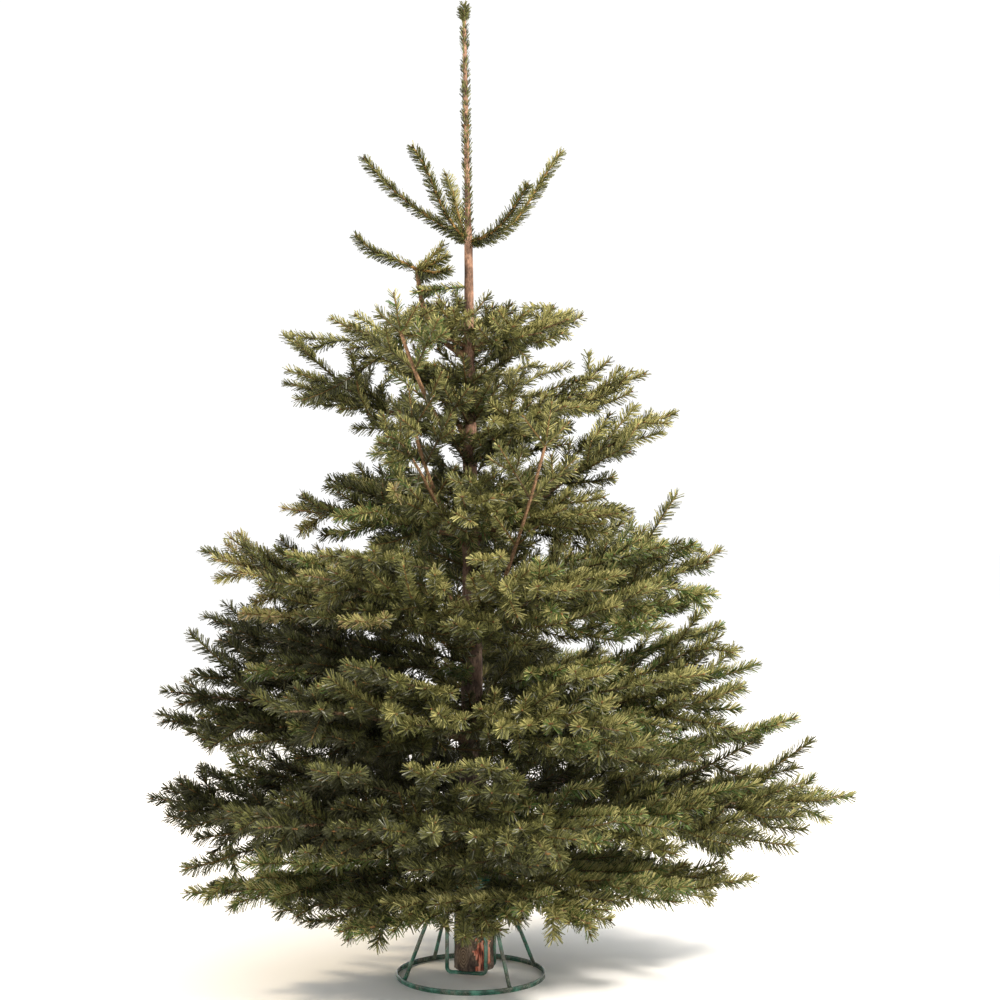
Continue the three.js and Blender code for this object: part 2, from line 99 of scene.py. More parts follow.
# The whorl of one-year shoots under the leader, and the smaller one on the side leader: azimuth,
# reach, height of the tip, pitch on leaving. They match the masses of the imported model.
TOP_WHORL = 1.508
LEADER_BUDS = 1.744  # the ring of buds half way up the leader
TOP_SHOOTS = [
    (178, 0.222, 1.688, 34),
    (205, 0.128, 1.702, 38),
    (124, 0.090, 1.668, 46),
    (322, 0.160, 1.615, 4),
    (10, 0.200, 1.704, 6),
]
SIDE_LEADER = {"foot": 1.270, "azimuth": 182, "reach": 0.108, "height": 1.452, "leave": 24, "arrive": 84}
SIDE_RADII = (0.0062, 0.0042)  # of the side leader's wood, at its foot and its tip
SIDE_SHOOTS = [
    (182, 0.132, 1.524, 30),
    (18, 0.062, 1.510, 40),
    (330, 0.086, 1.446, 10),
    (70, 0.060, 1.440, 10),
    (350, 0.070, 1.482, 30),
]

# --- small helpers ---


def linear(code):
    """An sRGB hex colour as the linear RGBA that a shader takes."""
    parts = [int(code[i : i + 2], 16) / 255 for i in (1, 3, 5)]
    return [c / 12.92 if c <= 0.04045 else ((c + 0.055) / 1.055) ** 2.4 for c in parts] + [1.0]


def around(azimuth, radius, z=0.0):
    a = math.radians(azimuth)
    return Vector((radius * math.cos(a), radius * math.sin(a), z))


def heading(azimuth, pitch):
    """The unit direction with this azimuth and pitch, in degrees."""
    p = math.radians(pitch)
    return around(azimuth, math.cos(p), math.sin(p))


def bearing(a, b):
    """The azimuth of the way from a to b, in degrees."""
    return math.degrees(math.atan2(b.y - a.y, b.x - a.x))


def mix(a, b, t):
    return a + (b - a) * t


def steps(a, b, parts):
    """Pairs of neighbouring values that cut the range from a to b into equal parts."""
    return pairwise(mix(a, b, i / parts) for i in range(parts + 1))


def smooth(low, high, x):
    t = min(1.0, max(0.0, (x - low) / (high - low)))
    return t * t * (3 - 2 * t)


def bow(a, m, b, t):
    """A place on the curve from a to b that bends towards m."""
    return a * (1 - t) ** 2 + m * (2 * t * (1 - t)) + b * t * t


def bezier(a, b, c, d, t):
    s = 1 - t
    return a * s**3 + b * (3 * s * s * t) + c * (3 * s * t * t) + d * t**3


def sprung(foot, tip, azimuth, leave, arrive):
    """The four points of a curve that leaves its foot and comes to its tip at the given pitches."""
    swing = (tip - foot).length * 0.42  # how far its two inner points lie from its ends
    return foot, foot + heading(azimuth, leave) * swing, tip - heading(azimuth, arrive) * swing, tip


def set_inputs(node, **inputs):
    """Gives each input of a shader node its value, or links it to the output it takes its value from."""
    for key, value in inputs.items():
        socket = node.inputs[int(key[1:])] if key[1:].isdigit() else node.inputs[key.replace("_", " ")]
        if isinstance(value, bpy.types.NodeSocket):
            node.id_data.links.new(value, socket)
        else:
            socket.default_value = value


def add_node(material, kind, output=0, settings=None, **inputs):
    """Adds a shader node with its properties and inputs, and gives back one of its outputs."""
    node = material.node_tree.nodes.new(kind)
    for key, value in (settings or {}).items():
        setattr(node, key, value)
    set_inputs(node, **inputs)
    return node.outputs[output]


def ramp(material, factor, *stops):
    """A colour ramp with its stops, each a place and a colour: both ends first, then those between."""
    colour = add_node(material, "ShaderNodeValToRGB", Fac=factor)
    elements = colour.node.color_ramp.elements
    for i, (place, code) in enumerate(stops):
        element = elements[i] if i < 2 else elements.new(place)
        element.position = place
        element.color = linear(code)
    return colour


def new_material(name):
    material = bpy.data.materials.new(name)
    material.use_nodes = True
    return material, material.node_tree.nodes["Principled BSDF"]


def add_object(name, data):
    thing = bpy.data.objects.new(name, data)
    bpy.context.scene.collection.objects.link(thing)
    return thing


def finish_piece(piece, nodes=()):
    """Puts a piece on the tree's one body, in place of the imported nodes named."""
    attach(piece, "root")
    if nodes:
        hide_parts(*nodes)


def add_mesh(mesh, materials, soft_edges=True):
    for material in materials:
        mesh.materials.append(material)
    mesh.polygons.foreach_set("use_smooth", np.full(len(mesh.polygons), soft_edges))
    return add_object(mesh.name, mesh)


def to_piece(name, bm, materials):
    mesh = bpy.data.meshes.new(name)
    bm.to_mesh(mesh)
    bm.free()
    return add_mesh(mesh, materials)


def joined_mesh(name, corners, faces, slots, materials, soft_edges):
    """One mesh from arrays: corner positions, triangles, and each triangle's material slot."""
    mesh = bpy.data.meshes.new(name)
    mesh.vertices.add(len(corners))
    mesh.vertices.foreach_set("co", corners.astype(np.float32).ravel())
    mesh.loops.add(faces.size)
    mesh.loops.foreach_set("vertex_index", faces.astype(np.int32).ravel())
    mesh.polygons.add(len(faces))
    mesh.polygons.foreach_set("loop_start", np.arange(0, faces.size, 3, dtype=np.int32))
    mesh.polygons.foreach_set("material_index", slots.astype(np.int32))
    mesh.update(calc_edges=True)
    return add_mesh(mesh, materials, soft_edges)


def unit(v):
    return v / np.maximum(np.linalg.norm(v, axis=-1, keepdims=True), 1e-9)


def sweep(bm, path, radii, sides):
    """A closed tube along a path: a circle extruded from point to point. Returns its rings of vertices."""
    last = len(path) - 1
    side = None
    rings = []
    for i, place in enumerate(path):
        along = (path[min(i + 1, last)] - path[max(i - 1, 0)]).normalized()
        if side is None:
            side = along.orthogonal().normalized()
        side = (side - along * side.dot(along)).normalized()
        turn = Matrix((side, along.cross(side), along)).transposed().to_4x4()
        frame = Matrix.Translation(place) @ turn
        if i == 0:
            ring = bmesh.ops.create_circle(bm, segments=sides, radius=1.0)["verts"]
            ring.sort(key=lambda v: math.atan2(v.co.y, v.co.x))
            flat = [v.co.copy() for v in ring]
        else:
            edges = [bm.edges.get((ring[k], ring[(k + 1) % sides])) for k in range(sides)]
            made = bmesh.ops.extrude_edge_only(bm, edges=edges)["geom"]
            fresh = {v for v in made if isinstance(v, bmesh.types.BMVert)}
            ring = [next(e.other_vert(v) for e in v.link_edges if e.other_vert(v) in fresh) for v in ring]
        for k, v in enumerate(ring):
            v.co = frame @ (flat[k] * radii[i])
        rings.append(ring)
    bm.faces.new(list(reversed(rings[0])))
    bm.faces.new(rings[-1])
    return rings


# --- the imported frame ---

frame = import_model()
nodes = frame["nodes"]
ring_low, ring_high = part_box("stand_ring")
CENTRE = (ring_low + ring_high) / 2
CENTRE.z = 0
grower = random.Random(41)


def merged(node):
    bm = bmesh.new()
    bm.from_mesh(nodes[node].data)
    bmesh.ops.remove_doubles(bm, verts=bm.verts, dist=1e-5)
    return bm


def trunk_rings():
    """Height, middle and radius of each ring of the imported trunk."""
    bm = merged("trunk")
    rows = {}
    for v in bm.verts:
        rows.setdefault(round(v.co.z, 3), []).append(v.co.copy())
    bm.free()
    table = []
    for z in sorted(rows):
        ring = rows[z]
        if len(ring) > 5:
            middle = sum(ring, Vector()) / len(ring)
            table.append((z, middle.x, middle.y, max((v - middle).length for v in ring)))
    return np.array(table)


TRUNK = trunk_rings()


def trunk_at(z):
    """The middle of the trunk at a height, and its radius there."""
    x, y, radius = (float(np.interp(z, TRUNK[:, 0], TRUNK[:, k])) for k in (1, 2, 3))
    return Vector((x, y, z)), radius


# --- shoots ---

shoots = []  # every shoot, as a dict: see add_shoot
forks = []  # places where a later shoot may start: position, direction, whorl, spray and upper side


def add_shoot(a, m, b, r0, r1, order, whorl, spray, up, tip, needles=1.0, length=1.0, lean=1.0):
    """A shoot from a to b that bows through m: its radii at both ends, its order (0 for a bough), the
    way its upper side faces, whether it ends in a bud, how densely it is needled, and the length and
    the lean of its needles as shares of the usual ones."""
    shoot = dict(a=a, m=m, b=b, r0=r0, r1=r1, order=order, whorl=whorl, spray=spray, up=up, tip=tip)
    shoots.append(shoot | dict(needles=needles, length=length, lean=lean))


def free_way(tree, start, direction, most):
    """How far a line runs inside a mass, small gaps apart."""
    done = 0.0
    left_at = 0.0
    for _ in range(5):
        place, normal, _face, distance = tree.ray_cast(start + direction * done, direction)
        if place is None:
            return min(most, left_at)
        leaving = normal.dot(direction) > 0
        if not leaving and done + distance - left_at > 0.03:
            return min(most, left_at)
        done += distance + 1e-4
        if leaving:
            left_at = done
        if left_at > most:
            return most
    return min(most, left_at)


def away_from_trunk(place):
    middle, _ = trunk_at(place.z)
    return (place - middle).normalized()


def seek(tree, start, along, side, up, natural):
    """The direction of a side shoot: one near 44 degrees off its parent, with much room in the mass."""
    best = None
    outward = away_from_trunk(start)
    wish = grower.gauss(44, 6)
    rise = grower.gauss(9, 16)
    for yaw in (34, 46, 58):
        for tilt in (-36, -18, 0, 18, 36):
            a, e = math.radians(yaw), math.radians(tilt)
            direction = (along * math.cos(a) + side * math.sin(a)) * math.cos(e) + up * math.sin(e)
            direction = (direction + outward * 0.3).normalized()
            room = free_way(tree, start, direction, natural)
            score = room / natural - 0.006 * abs(yaw - wish) - 0.006 * abs(tilt - rise)
            if best is None or score > best[0]:
                best = (score, direction, room)
    return best[1], best[2]


def needle_cover(place, rest):
    """How densely a stretch of wood is needled: bare on old wood and in the shade by the trunk."""
    middle, radius = trunk_at(place.z)
    away = (place - middle).length - radius
    shade = smooth(0.02, 0.08 + 0.10 * (1.5 - min(1.4, place.z)), away)
    old = smooth(0.70, 0.25, rest)
    return mix(0.45, 1.0, shade) * mix(0.55, 1.0, old)


def grow(tree, start, direction, up, length, order, whorl, spray):
    """One side shoot with its years' growth, and the side shoots that fork from it."""
    year = WHORLS[whorl]["year"] * YEAR_RATIO[order]
    years = max(1, round(length / year))
    weights = [grower.uniform(0.85, 1.1) for _ in range(years)]
    weights[-1] *= 1.15
    scale = length / sum(weights)
    place, along, rest = start.copy(), direction.normalized(), length
    for i, weight in enumerate(weights):
        step = weight * scale
        last = i == years - 1
        lift = 0.12 if last else 0.04
        bent = along + UP * grower.gauss(lift, 0.05) + along.cross(up) * grower.gauss(0, 0.06)
        bent += away_from_trunk(place) * 0.10
        bent.normalize()
        middle = place + along * step * 0.5
        end = middle + bent * step * 0.5
        radii = [TIP_RADIUS + THICKEN * r for r in (rest, max(0.0, rest - step))]
        cover = needle_cover(middle, rest)
        add_shoot(place, middle, end, *radii, order, whorl, spray, up, last, cover)
        forks.append((middle, along, whorl, spray, up))
        forks.append((end, bent, whorl, spray, up))
        place, along = end, bent
        rest -= step
        if not last and order < DEEPEST:
            side = along.cross(up).normalized()
            flat_up = side.cross(along)
            for hand in (1, -1):
                natural = max(FORK_RATIO[order] * rest * grower.uniform(0.8, 1.12), 1.2 * SHORTEST)
                if order == 2 and grower.random() < 0.3:
                    continue
                way, room = seek(tree, place, along, side * hand, flat_up, natural)
                reach = min(natural, room + PROUD)
                if reach > SHORTEST:
                    grow(tree, place, way, up, reach, order + 1, whorl, spray)
            if order == 1:
                bristle(tree, place, along, flat_up, whorl, spray, 0.09)


def bristle(tree, start, along, up, whorl, spray, most):
    """Shoots that rise from a bough, and others that hang from it, where its mass is deep."""
    side = along.cross(up).normalized()
    for hand in (1, -1):
        pitch = math.radians(grower.gauss(44, 9))
        way = along * math.cos(pitch) + up * hand * math.sin(pitch) + side * grower.gauss(0, 0.35)
        way.normalize()
        natural = most * grower.uniform(0.8, 1.15)
        reach = min(natural, free_way(tree, start, way, natural) + PROUD)
        if reach > 1.3 * SHORTEST:
            grow(tree, start, way, side.cross(way) * hand, reach, 2, whorl, spray)


boughs = []  # the wood of the main boughs: (path, radii)
sprays = iter(range(1, 10000))  # numbers of sprays: a shoot with all that forks from it is one


def bough_line(name, whorl, bm, tree):
    """A bough's line inside its mass, as a function of the share of the way from the trunk to the tip."""
    foot, _ = trunk_at(WHORLS[whorl]["height"])

    def out(place):
        return (place.xy - foot.xy).length

    far = max((v.co for v in bm.verts), key=out)
    azimuth = bearing(foot, far)
    reach = out(far)
    # rows of share, height and weight that its curve is fitted to: foot, tip, bare limb, mid-mass
    rows = [(0.0, foot.z, 6.0), (1.0, far.z, 6.0)]
    if name in nodes:
        limb = merged(name)
        share = max(out(v.co) for v in limb.verts) / reach
        ends = [v.co.z for v in limb.verts if out(v.co) > 0.93 * share * reach]
        rows.append((share, sum(ends) / len(ends), 4.0))
        limb.free()
    for k in range(2, 20):
        share = k / 20
        place = foot + around(azimuth, reach * share)
        top, bottom = (tree.ray_cast(place - way, way)[0] for way in (-UP, UP))
        if top is not None and bottom is not None:
            rows.append((share, (top.z + bottom.z) / 2, 1.0))
    shares, heights, weights = (np.array(column) for column in zip(*rows))
    curve = np.polyfit(shares, heights, 3, w=weights)

    def line(t):
        place = foot + around(azimuth, reach * t)
        place.z = float(np.polyval(curve, t))
        return place

    return line, reach, azimuth


def grow_bough(number, whorl, tree, bm):
    """A bough, cut into its years' growth, with side shoots and bristling ones at each year's end."""
    line, reach, azimuth = bough_line(f"bough_{number}", whorl, bm, tree)
    year = WHORLS[whorl]["year"]
    side = around(azimuth - 90, 1)
    shares = [0.0]
    while shares[-1] < 1:
        shares.append(shares[-1] + grower.uniform(0.9, 1.1) * year / reach)
    last = 0.985
    if len(shares) > 3 and shares[-2] > last - 0.6 * year / reach:
        shares.pop()
    shares[-1] = last
    spray = next(sprays)

    def radius(t):
        """1.2 mm at the tip, and 12 mm more at the foot for each metre of reach."""
        return 0.0012 + (0.0120 * reach) * max(0.0, 1 - t) ** 0.9

    for t0, t1 in pairwise(shares):
        a, b = line(t0), line(t1)
        m = line((t0 + t1) / 2) * 2 - (a + b) / 2
        along = (b - a).normalized()
        up = side.cross(along).normalized()
        tip = t1 == last
        cover = needle_cover((a + b) / 2, (1 - t0) * reach)
        add_shoot(a, m, b, radius(t0), radius(t1), 0, whorl, spray, up, tip, cover)
        forks.append((b, along, whorl, spray, up))
        if tip:
            continue
        for hand in (1, -1):
            natural = max(FORK_RATIO[0] * (1 - t1) * reach * grower.uniform(0.88, 1.1), 0.05)
            if reach * t1 < 0.05:
                continue
            out, room = seek(tree, b, along, side * hand, up, natural)
            length = min(natural, room + PROUD)
            if length > SHORTEST:
                grow(tree, b, out, up, length, 1, whorl, next(sprays))
        bristle(tree, b, along, up, whorl, next(sprays), 0.11)
    along = np.linspace(0, 0.97, BOUGH_POINTS)
    boughs.append(([line(t) for t in along], [radius(t) for t in along]))


def reach_skin(bm, tree, whorl, first):
    """Adds a shoot towards each corner, and each part of the skin, that no shoot has come near."""
    if len(shoots) == first:
        return

    def points_on(some):
        shares = (0.0, 0.25, 0.5, 0.75, 1.0)
        return np.array([bow(s["a"], s["m"], s["b"], t) for s in some for t in shares])

    # each corner wants a shoot within 34 mm, each face one within 30 mm of a place 12 mm inside it
    ends = points_on(shoots[first:])
    targets = [(v.co.copy(), 0.034) for v in bm.verts]
    for face in bm.faces:
        if face.calc_area() > 0.0004:
            targets.append((face.calc_center_median() - face.normal * 0.012, 0.030))
    targets.sort(key=lambda item: -(item[0].xy - CENTRE.xy).length)
    used = {}
    for corner, near in targets:
        if np.linalg.norm(ends - np.array(corner), axis=1).min() < near:
            continue
        best = None
        outward = away_from_trunk(corner)
        for k, (place, along, where, spray, up) in enumerate(forks):
            if where != whorl:
                continue
            way = corner - place
            distance = way.length
            if 0.035 < distance < 0.26 and way.dot(along) > 0.2 * distance:
                turned = 2.6 - (way.dot(along) + 1.2 * way.dot(outward)) / distance
                cost = distance * turned * (1 + used.get(k, 0))
                if best is None or cost < best[0]:
                    best = (cost, place, along, spray, up, distance, k)
        if best is None:
            continue
        _, place, along, spray, up, distance, k = best
        used[k] = used.get(k, 0) + 1
        way = (corner - place).normalized()
        known = len(shoots)
        side = along.cross(way)
        up = side.cross(way).normalized() if side.length > 0.05 else up
        grow(tree, place, way, up if up.z > 0 else -up, max(distance - 0.008, SHORTEST), 2, whorl, spray)
        ends = np.vstack([ends, points_on(shoots[known:])])


def single_shoots(foot, rows):
    """The one-year shoots of a whorl at the top, densely needled all round."""
    for azimuth, reach, tip_height, leave in rows:
        end = around(azimuth, reach) + foot
        end.z = tip_height
        end += (foot - end).normalized() * 0.010
        line = sprung(foot, end, azimuth, leave, 52)
        spray = next(sprays)
        parts = max(1, round((end - foot).length / 0.07))
        side = around(azimuth - 90, 1)
        for t0, t1 in steps(0, 1, parts):
            a, middle, b = (bezier(*line, t) for t in (t0, (t0 + t1) / 2, t1))
            m = middle * 2 - (a + b) / 2
            up = side.cross((b - a).normalized())
            radii = [mix(0.0036, 0.0020, t) for t in (t0, t1)]
            add_shoot(a, m, b, *radii, 1, 1, spray, up, t1 == 1, needles=1.7)


# --- growth ---

foliage_nodes = sorted(n for n in nodes if n.startswith("foliage_"))
for name in foliage_nodes:
    number = name[len("foliage_") :]
    if not number[0].isdigit():
        continue
    bm = merged(name)
    tree = BVHTree.FromBMesh(bm)
    first = len(shoots)
    grow_bough(number, int(number[0]), tree, bm)
    reach_skin(bm, tree, int(number[0]), first)
    bm.free()


def needled_stem(a, b, r0, r1, tip=False, **needles):
    """A stretch of an upright stem, with the needles that it bears itself. Its upper side is its front."""
    add_shoot(a, (a + b) / 2, b, r0, r1, 0, 1, 0, Vector((0, -1, 0)), tip, **needles)


single_shoots(trunk_at(TOP_WHORL)[0], TOP_SHOOTS)

side_foot, _ = trunk_at(SIDE_LEADER["foot"])
side_tip = side_foot + around(SIDE_LEADER["azimuth"], SIDE_LEADER["reach"])
side_tip.z = SIDE_LEADER["height"]
side_line = sprung(side_foot, side_tip, *(SIDE_LEADER[k] for k in ("azimuth", "leave", "arrive")))
along = np.linspace(0, 1, BOUGH_POINTS)
boughs.append(([bezier(*side_line, t) for t in along], [mix(*SIDE_RADII, t) for t in along]))
single_shoots(side_tip, SIDE_SHOOTS)
for t0, t1 in steps(0.3, 1, 6):
    ends = [bezier(*side_line, t) for t in (t0, t1)]
    radii = [mix(*SIDE_RADII, t) for t in (t0, t1)]
    needled_stem(*ends, *radii, needles=0.5, length=0.62, lean=0.7)

# Short shoots that the trunk bears between its whorls: a few with a place of their own, given as
# height, azimuth, pitch and length, and the others all round it, as how many lie between two heights.
BETWEEN = [(0.93, 1.07, 14), (1.12, 1.27, 16), (1.27, 1.36, 9), (0.74, 0.87, 7), (0.52, 0.66, 5)]
OWN_PLACE = [
    (1.418, 187, -12, 0.106),
    (1.060, 340, 4, 0.200),
    (1.075, 15, 12, 0.160),
    (1.050, 300, 14, 0.130),
    (1.190, 200, 14, 0.160),
    (1.220, 226, 6, 0.170),
    (1.130, 206, 12, 0.150),
    (1.240, 178, -2, 0.160),
    (1.100, 190, 6, 0.140),
    (1.020, 215, 20, 0.150),
    (0.640, 214, 12, 0.200),
    (0.610, 196, 16, 0.210),
    (0.560, 320, 16, 0.160),
    (0.600, 250, 16, 0.140),
]


def free_shoot(start, way, side, length, whorl):
    """A shoot of one to three years that no mass holds, with the side shoots of its later years."""
    up = side.cross(way)
    place, spray = start, next(sprays)
    years = max(1, round(length / 0.068))
    step = length / years
    for year, radii in enumerate(steps(0.0024, 0.0014, years), 1):
        end = place + way * step + UP * 0.08 * step
        add_shoot(place, (place + end) / 2, end, *radii, 2, whorl, spray, up, year == years, needles=0.9)
        place = end
        for hand in (1, -1) if year < years else ():
            out = (way * 0.72 + side * hand * 0.66 + up * grower.gauss(0.08, 0.1)).normalized()
            tip = end + out * step * grower.uniform(0.75, 1.0)
            add_shoot(end, (end + tip) / 2, tip, 0.0014, TIP_RADIUS, 3, whorl, spray, up, True)


def trunk_shoot(z, azimuth, pitch, length):
    middle, radius = trunk_at(z)
    way = heading(azimuth, pitch)
    free_shoot(middle + way * radius * 0.8, way, around(azimuth - 90, 1), length, 2)


def shoot_near(azimuth, reach, height, way, side, length, whorl):
    """A free shoot from the end of the twig that is nearest to a place."""
    near = trunk_at(height)[0] + around(azimuth, reach)
    start = min((s["b"] for s in shoots), key=lambda end: (end - near).length)
    free_shoot(start, way, side, length, whorl)


for row in OWN_PLACE:
    trunk_shoot(*row)
for low, high, many in BETWEEN:
    for k in range(many):
        z = grower.uniform(low, high)
        length = grower.uniform(0.07, 0.15) * mix(1.0, 0.7, smooth(1.2, 1.4, z))
        trunk_shoot(z, k * GOLDEN_ANGLE + grower.uniform(-20, 20), grower.uniform(15, 50), length)

# Shoots that droop at the front, under the lowest whorls, a few that fill the sides, and three by the
# trunk: azimuth, reach and height of the place they start near, their own azimuth, pitch and length,
# and the whorl.
EXTRA_SHOOTS = [
    (285, 0.30, 0.232, 192, -4, 0.27, 7),
    (262, 0.27, 0.212, 202, -9, 0.24, 7),
    (300, 0.20, 0.222, 236, -15, 0.17, 7),
    (278, 0.15, 0.212, 268, -15, 0.20, 7),
    (308, 0.24, 0.222, 286, -12, 0.20, 7),
    (226, 0.30, 0.205, 202, -9, 0.20, 7),
    (322, 0.27, 0.238, 346, -5, 0.24, 7),
    (300, 0.30, 0.305, 214, -4, 0.27, 7),
    (240, 0.30, 0.290, 190, -5, 0.27, 7),
    (330, 0.25, 0.290, 300, -6, 0.27, 7),
    (255, 0.22, 0.262, 222, -8, 0.24, 7),
    (282, 0.15, 0.268, 236, -2, 0.17, 7),
    (262, 0.15, 0.262, 304, -2, 0.17, 7),
    (182, 0.48, 0.500, 172, 6, 0.14, 6),
    (192, 0.47, 0.475, 186, 10, 0.14, 6),
    (188, 0.50, 0.330, 184, 5, 0.13, 7),
    (176, 0.48, 0.350, 172, 8, 0.14, 7),
    (355, 0.30, 0.700, 8, 14, 0.20, 5),
    (340, 0.26, 0.720, 350, 18, 0.17, 5),
    (350, 0.36, 0.640, 354, 22, 0.14, 5),
    (345, 0.52, 0.480, 350, 12, 0.15, 6),
    (182, 0.23, 1.185, 176, 14, 0.15, 3),
    (180, 0.258, 1.220, 178, 36, 0.15, 3),
    (184, 0.242, 1.210, 184, 78, 0.08, 3),
    (240, 0.12, 0.660, 205, -4, 0.18, 5),
    (225, 0.10, 0.630, 190, 0, 0.18, 5),
    (252, 0.14, 0.600, 200, 4, 0.18, 5),
]
for *place, turned, pitch, length, whorl in EXTRA_SHOOTS:
    shoot_near(*place, heading(turned, pitch), around(turned - 90, 1), length, whorl)

# The bands between the lower whorls, which the masses leave thin at the front: the heights and the
# reaches between which more shoots start, how many there are, and their whorl.
THIN_BANDS = [
    (0.63, 0.71, 0.20, 0.34, 14, 5),
    (0.42, 0.51, 0.24, 0.42, 18, 6),
    (0.58, 0.66, 0.10, 0.22, 9, 5),
    (0.80, 0.86, 0.16, 0.28, 8, 4),
]
for low, high, nearest, farthest, many, whorl in THIN_BANDS:
    for k in range(many):
        azimuth = 175 + 190 * (k + 0.5) / many
        height = grower.uniform(low, high)
        reach = grower.uniform(nearest, farthest)
        pitch = grower.uniform(0, 18)
        way = heading(azimuth + grower.uniform(-55, 55), pitch)
        side = way.cross(UP).normalized()
        shoot_near(azimuth, reach, height, way, side, grower.uniform(0.15, 0.23), whorl)

# Three boughs that rise steeply at the front, with bare wood: height of the foot, azimuth, radius,
# and two places they pass through, as reach from the trunk and height. Then where along them side
# shoots start, and how long these are; the last ones are the bough's own tip.
STEEP_BOUGHS = [
    (1.065, 235, 0.0056, (0.125, 1.155), (0.216, 1.281)),
    (0.885, 232, 0.0058, (0.076, 0.938), (0.169, 1.097)),
    (0.670, 300, 0.0048, (0.181, 0.892), (0.272, 1.050)),
]
STEEP_FORKS = [(9, 0.11), (13, 0.09), (17, 0.12), (BOUGH_POINTS - 1, 0.072)]


def clear_before(line, room):
    """Leaves out the shoots that grow in front of a bare bough, and strips those that carry others."""
    hidden = []
    for shoot in shoots:
        points = np.array([shoot["a"], shoot["m"], (shoot["m"] + shoot["b"]) / 2, shoot["b"]])
        gaps = np.hypot(points[:, None, 0] - line[None, :, 0], points[:, None, 2] - line[None, :, 2])
        nearest = gaps.argmin(axis=1)
        before = (gaps.min(axis=1) < room) & (points[:, 1] < line[nearest, 1] + 0.012)
        if before.any() and shoot["tip"] and shoot["order"] > 0:
            hidden.append(id(shoot))
        elif before.any():
            shoot["needles"] *= 0.15
    shoots[:] = [s for s in shoots if id(s) not in hidden]


for foot_height, azimuth, thick, *passed in STEEP_BOUGHS:
    foot, _ = trunk_at(foot_height)
    curve = np.polyfit(*zip((0, foot_height), *passed), 2)
    line = []
    for reach in np.linspace(0, passed[1][0] * 1.06, BOUGH_POINTS):
        place = foot + around(azimuth, float(reach))
        place.z = float(np.polyval(curve, reach))
        line.append(place)
    boughs.append((line, [mix(thick, 0.6 * thick, t) for t in np.linspace(0, 1, BOUGH_POINTS)]))
    clear_before(np.array(line[12:20]), 0.018)
    side = around(azimuth - 90, 1)
    for k, length in STEEP_FORKS:
        along = (line[k] - line[k - 1]).normalized()
        for hand in (1, -1) if k < BOUGH_POINTS - 1 else (1, 0, -1):
            across = around(azimuth - 90, hand) + around(azimuth + 180, 0.2)
            way = (along * 0.7 + across * grower.uniform(0.6, 0.8)).normalized()
            free_shoot(line[k], way, side, length * grower.uniform(0.8, 1.1), 3)

# The leader's own needles, pressed close to it, and the ones round the bud at its top.
for low, high in steps(1.515, 1.978, 9):
    (a, r0), (b, r1) = trunk_at(low), trunk_at(high)
    needled_stem(a, b, r0, r1, needles=1.1, length=0.72, lean=0.66)
for height, tip in ((1.962, False), (1.972, True)):
    low = Vector((*trunk_at(1.985)[0].xy, height))
    needled_stem(low, low + UP * 0.022, 0.003, 0.002, tip, needles=2.6, length=0.8, lean=1.1)

# --- materials of the living parts ---


def needle_material(name, code):
    # Fir needle: a waxy skin, glossy on top, so a soft highlight over a deep green.
    material, shader = new_material(name)
    set_inputs(shader, Base_Color=linear(code), Roughness=0.5, IOR=1.45, Specular_IOR_Level=0.35)
    return material


# The greens of the needles, a ladder of painted shade and painted light from the shaded inside of
# the crown to its lit tips, then the two tints that only some sprays have, old gold at the upper left
# and a fresher green at the right and low down, and last the pale bands under a needle.
NEEDLE_TONES = [
    ("fir_needle_shade", "#363823"),
    ("fir_needle_deep", "#4a4c2b"),
    ("fir_needle_green", "#5e6136"),
    ("fir_needle_olive", "#757543"),
    ("fir_needle_light_olive", "#a19c63"),
    ("fir_needle_gold", "#8f7d59"),
    ("fir_needle_fresh", "#526a36"),
    ("fir_needle_underside", "#86887a"),
]
needle_materials = [needle_material(*tone) for tone in NEEDLE_TONES]
DEEP, GREEN, LIGHT, GOLD, FRESH, UNDERSIDE = 1, 2, 4, 5, 6, 7


def twig_material(name, code):
    # Young fir bark: thin, smooth and dull.
    material, shader = new_material(name)
    set_inputs(shader, Base_Color=linear(code), Roughness=0.7, Specular_IOR_Level=0.3)
    return material


TWIG_TONES = [
    ("fir_twig_old_bark", "#42362a"),
    ("fir_twig_bark", "#4f4029"),
    ("fir_twig_young_bark", "#66502c"),
    ("fir_twig_last_growth", "#94703f"),
]
twig_materials = [twig_material(*tone) for tone in TWIG_TONES]
OLD_BARK, BARK, YOUNG_BARK, LAST_GROWTH = range(4)
bud_materials = [twig_material("fir_bud_scales", "#5f4427"), twig_material("fir_bud_resin", "#7d5c36")]

# --- arrays of all shoots ---

rng = np.random.default_rng(7)


def column(key):
    return np.array([s[key] for s in shoots], dtype=float)


A, M, B, UPS = (column(k) for k in ("a", "m", "b", "up"))
R0, R1 = column("r0"), column("r1")
ORDER, WHORL, SPRAY = (column(k).astype(int) for k in ("order", "whorl", "spray"))
TIP = column("tip") > 0
COVER, LENGTH, LEAN = column("needles"), column("length"), column("lean")
SPAN = np.linalg.norm(M - A, axis=1) + np.linalg.norm(B - M, axis=1)
LONG = np.array([0, 0.019] + [w["needle"] for w in WHORLS.values()])  # needle length by whorl


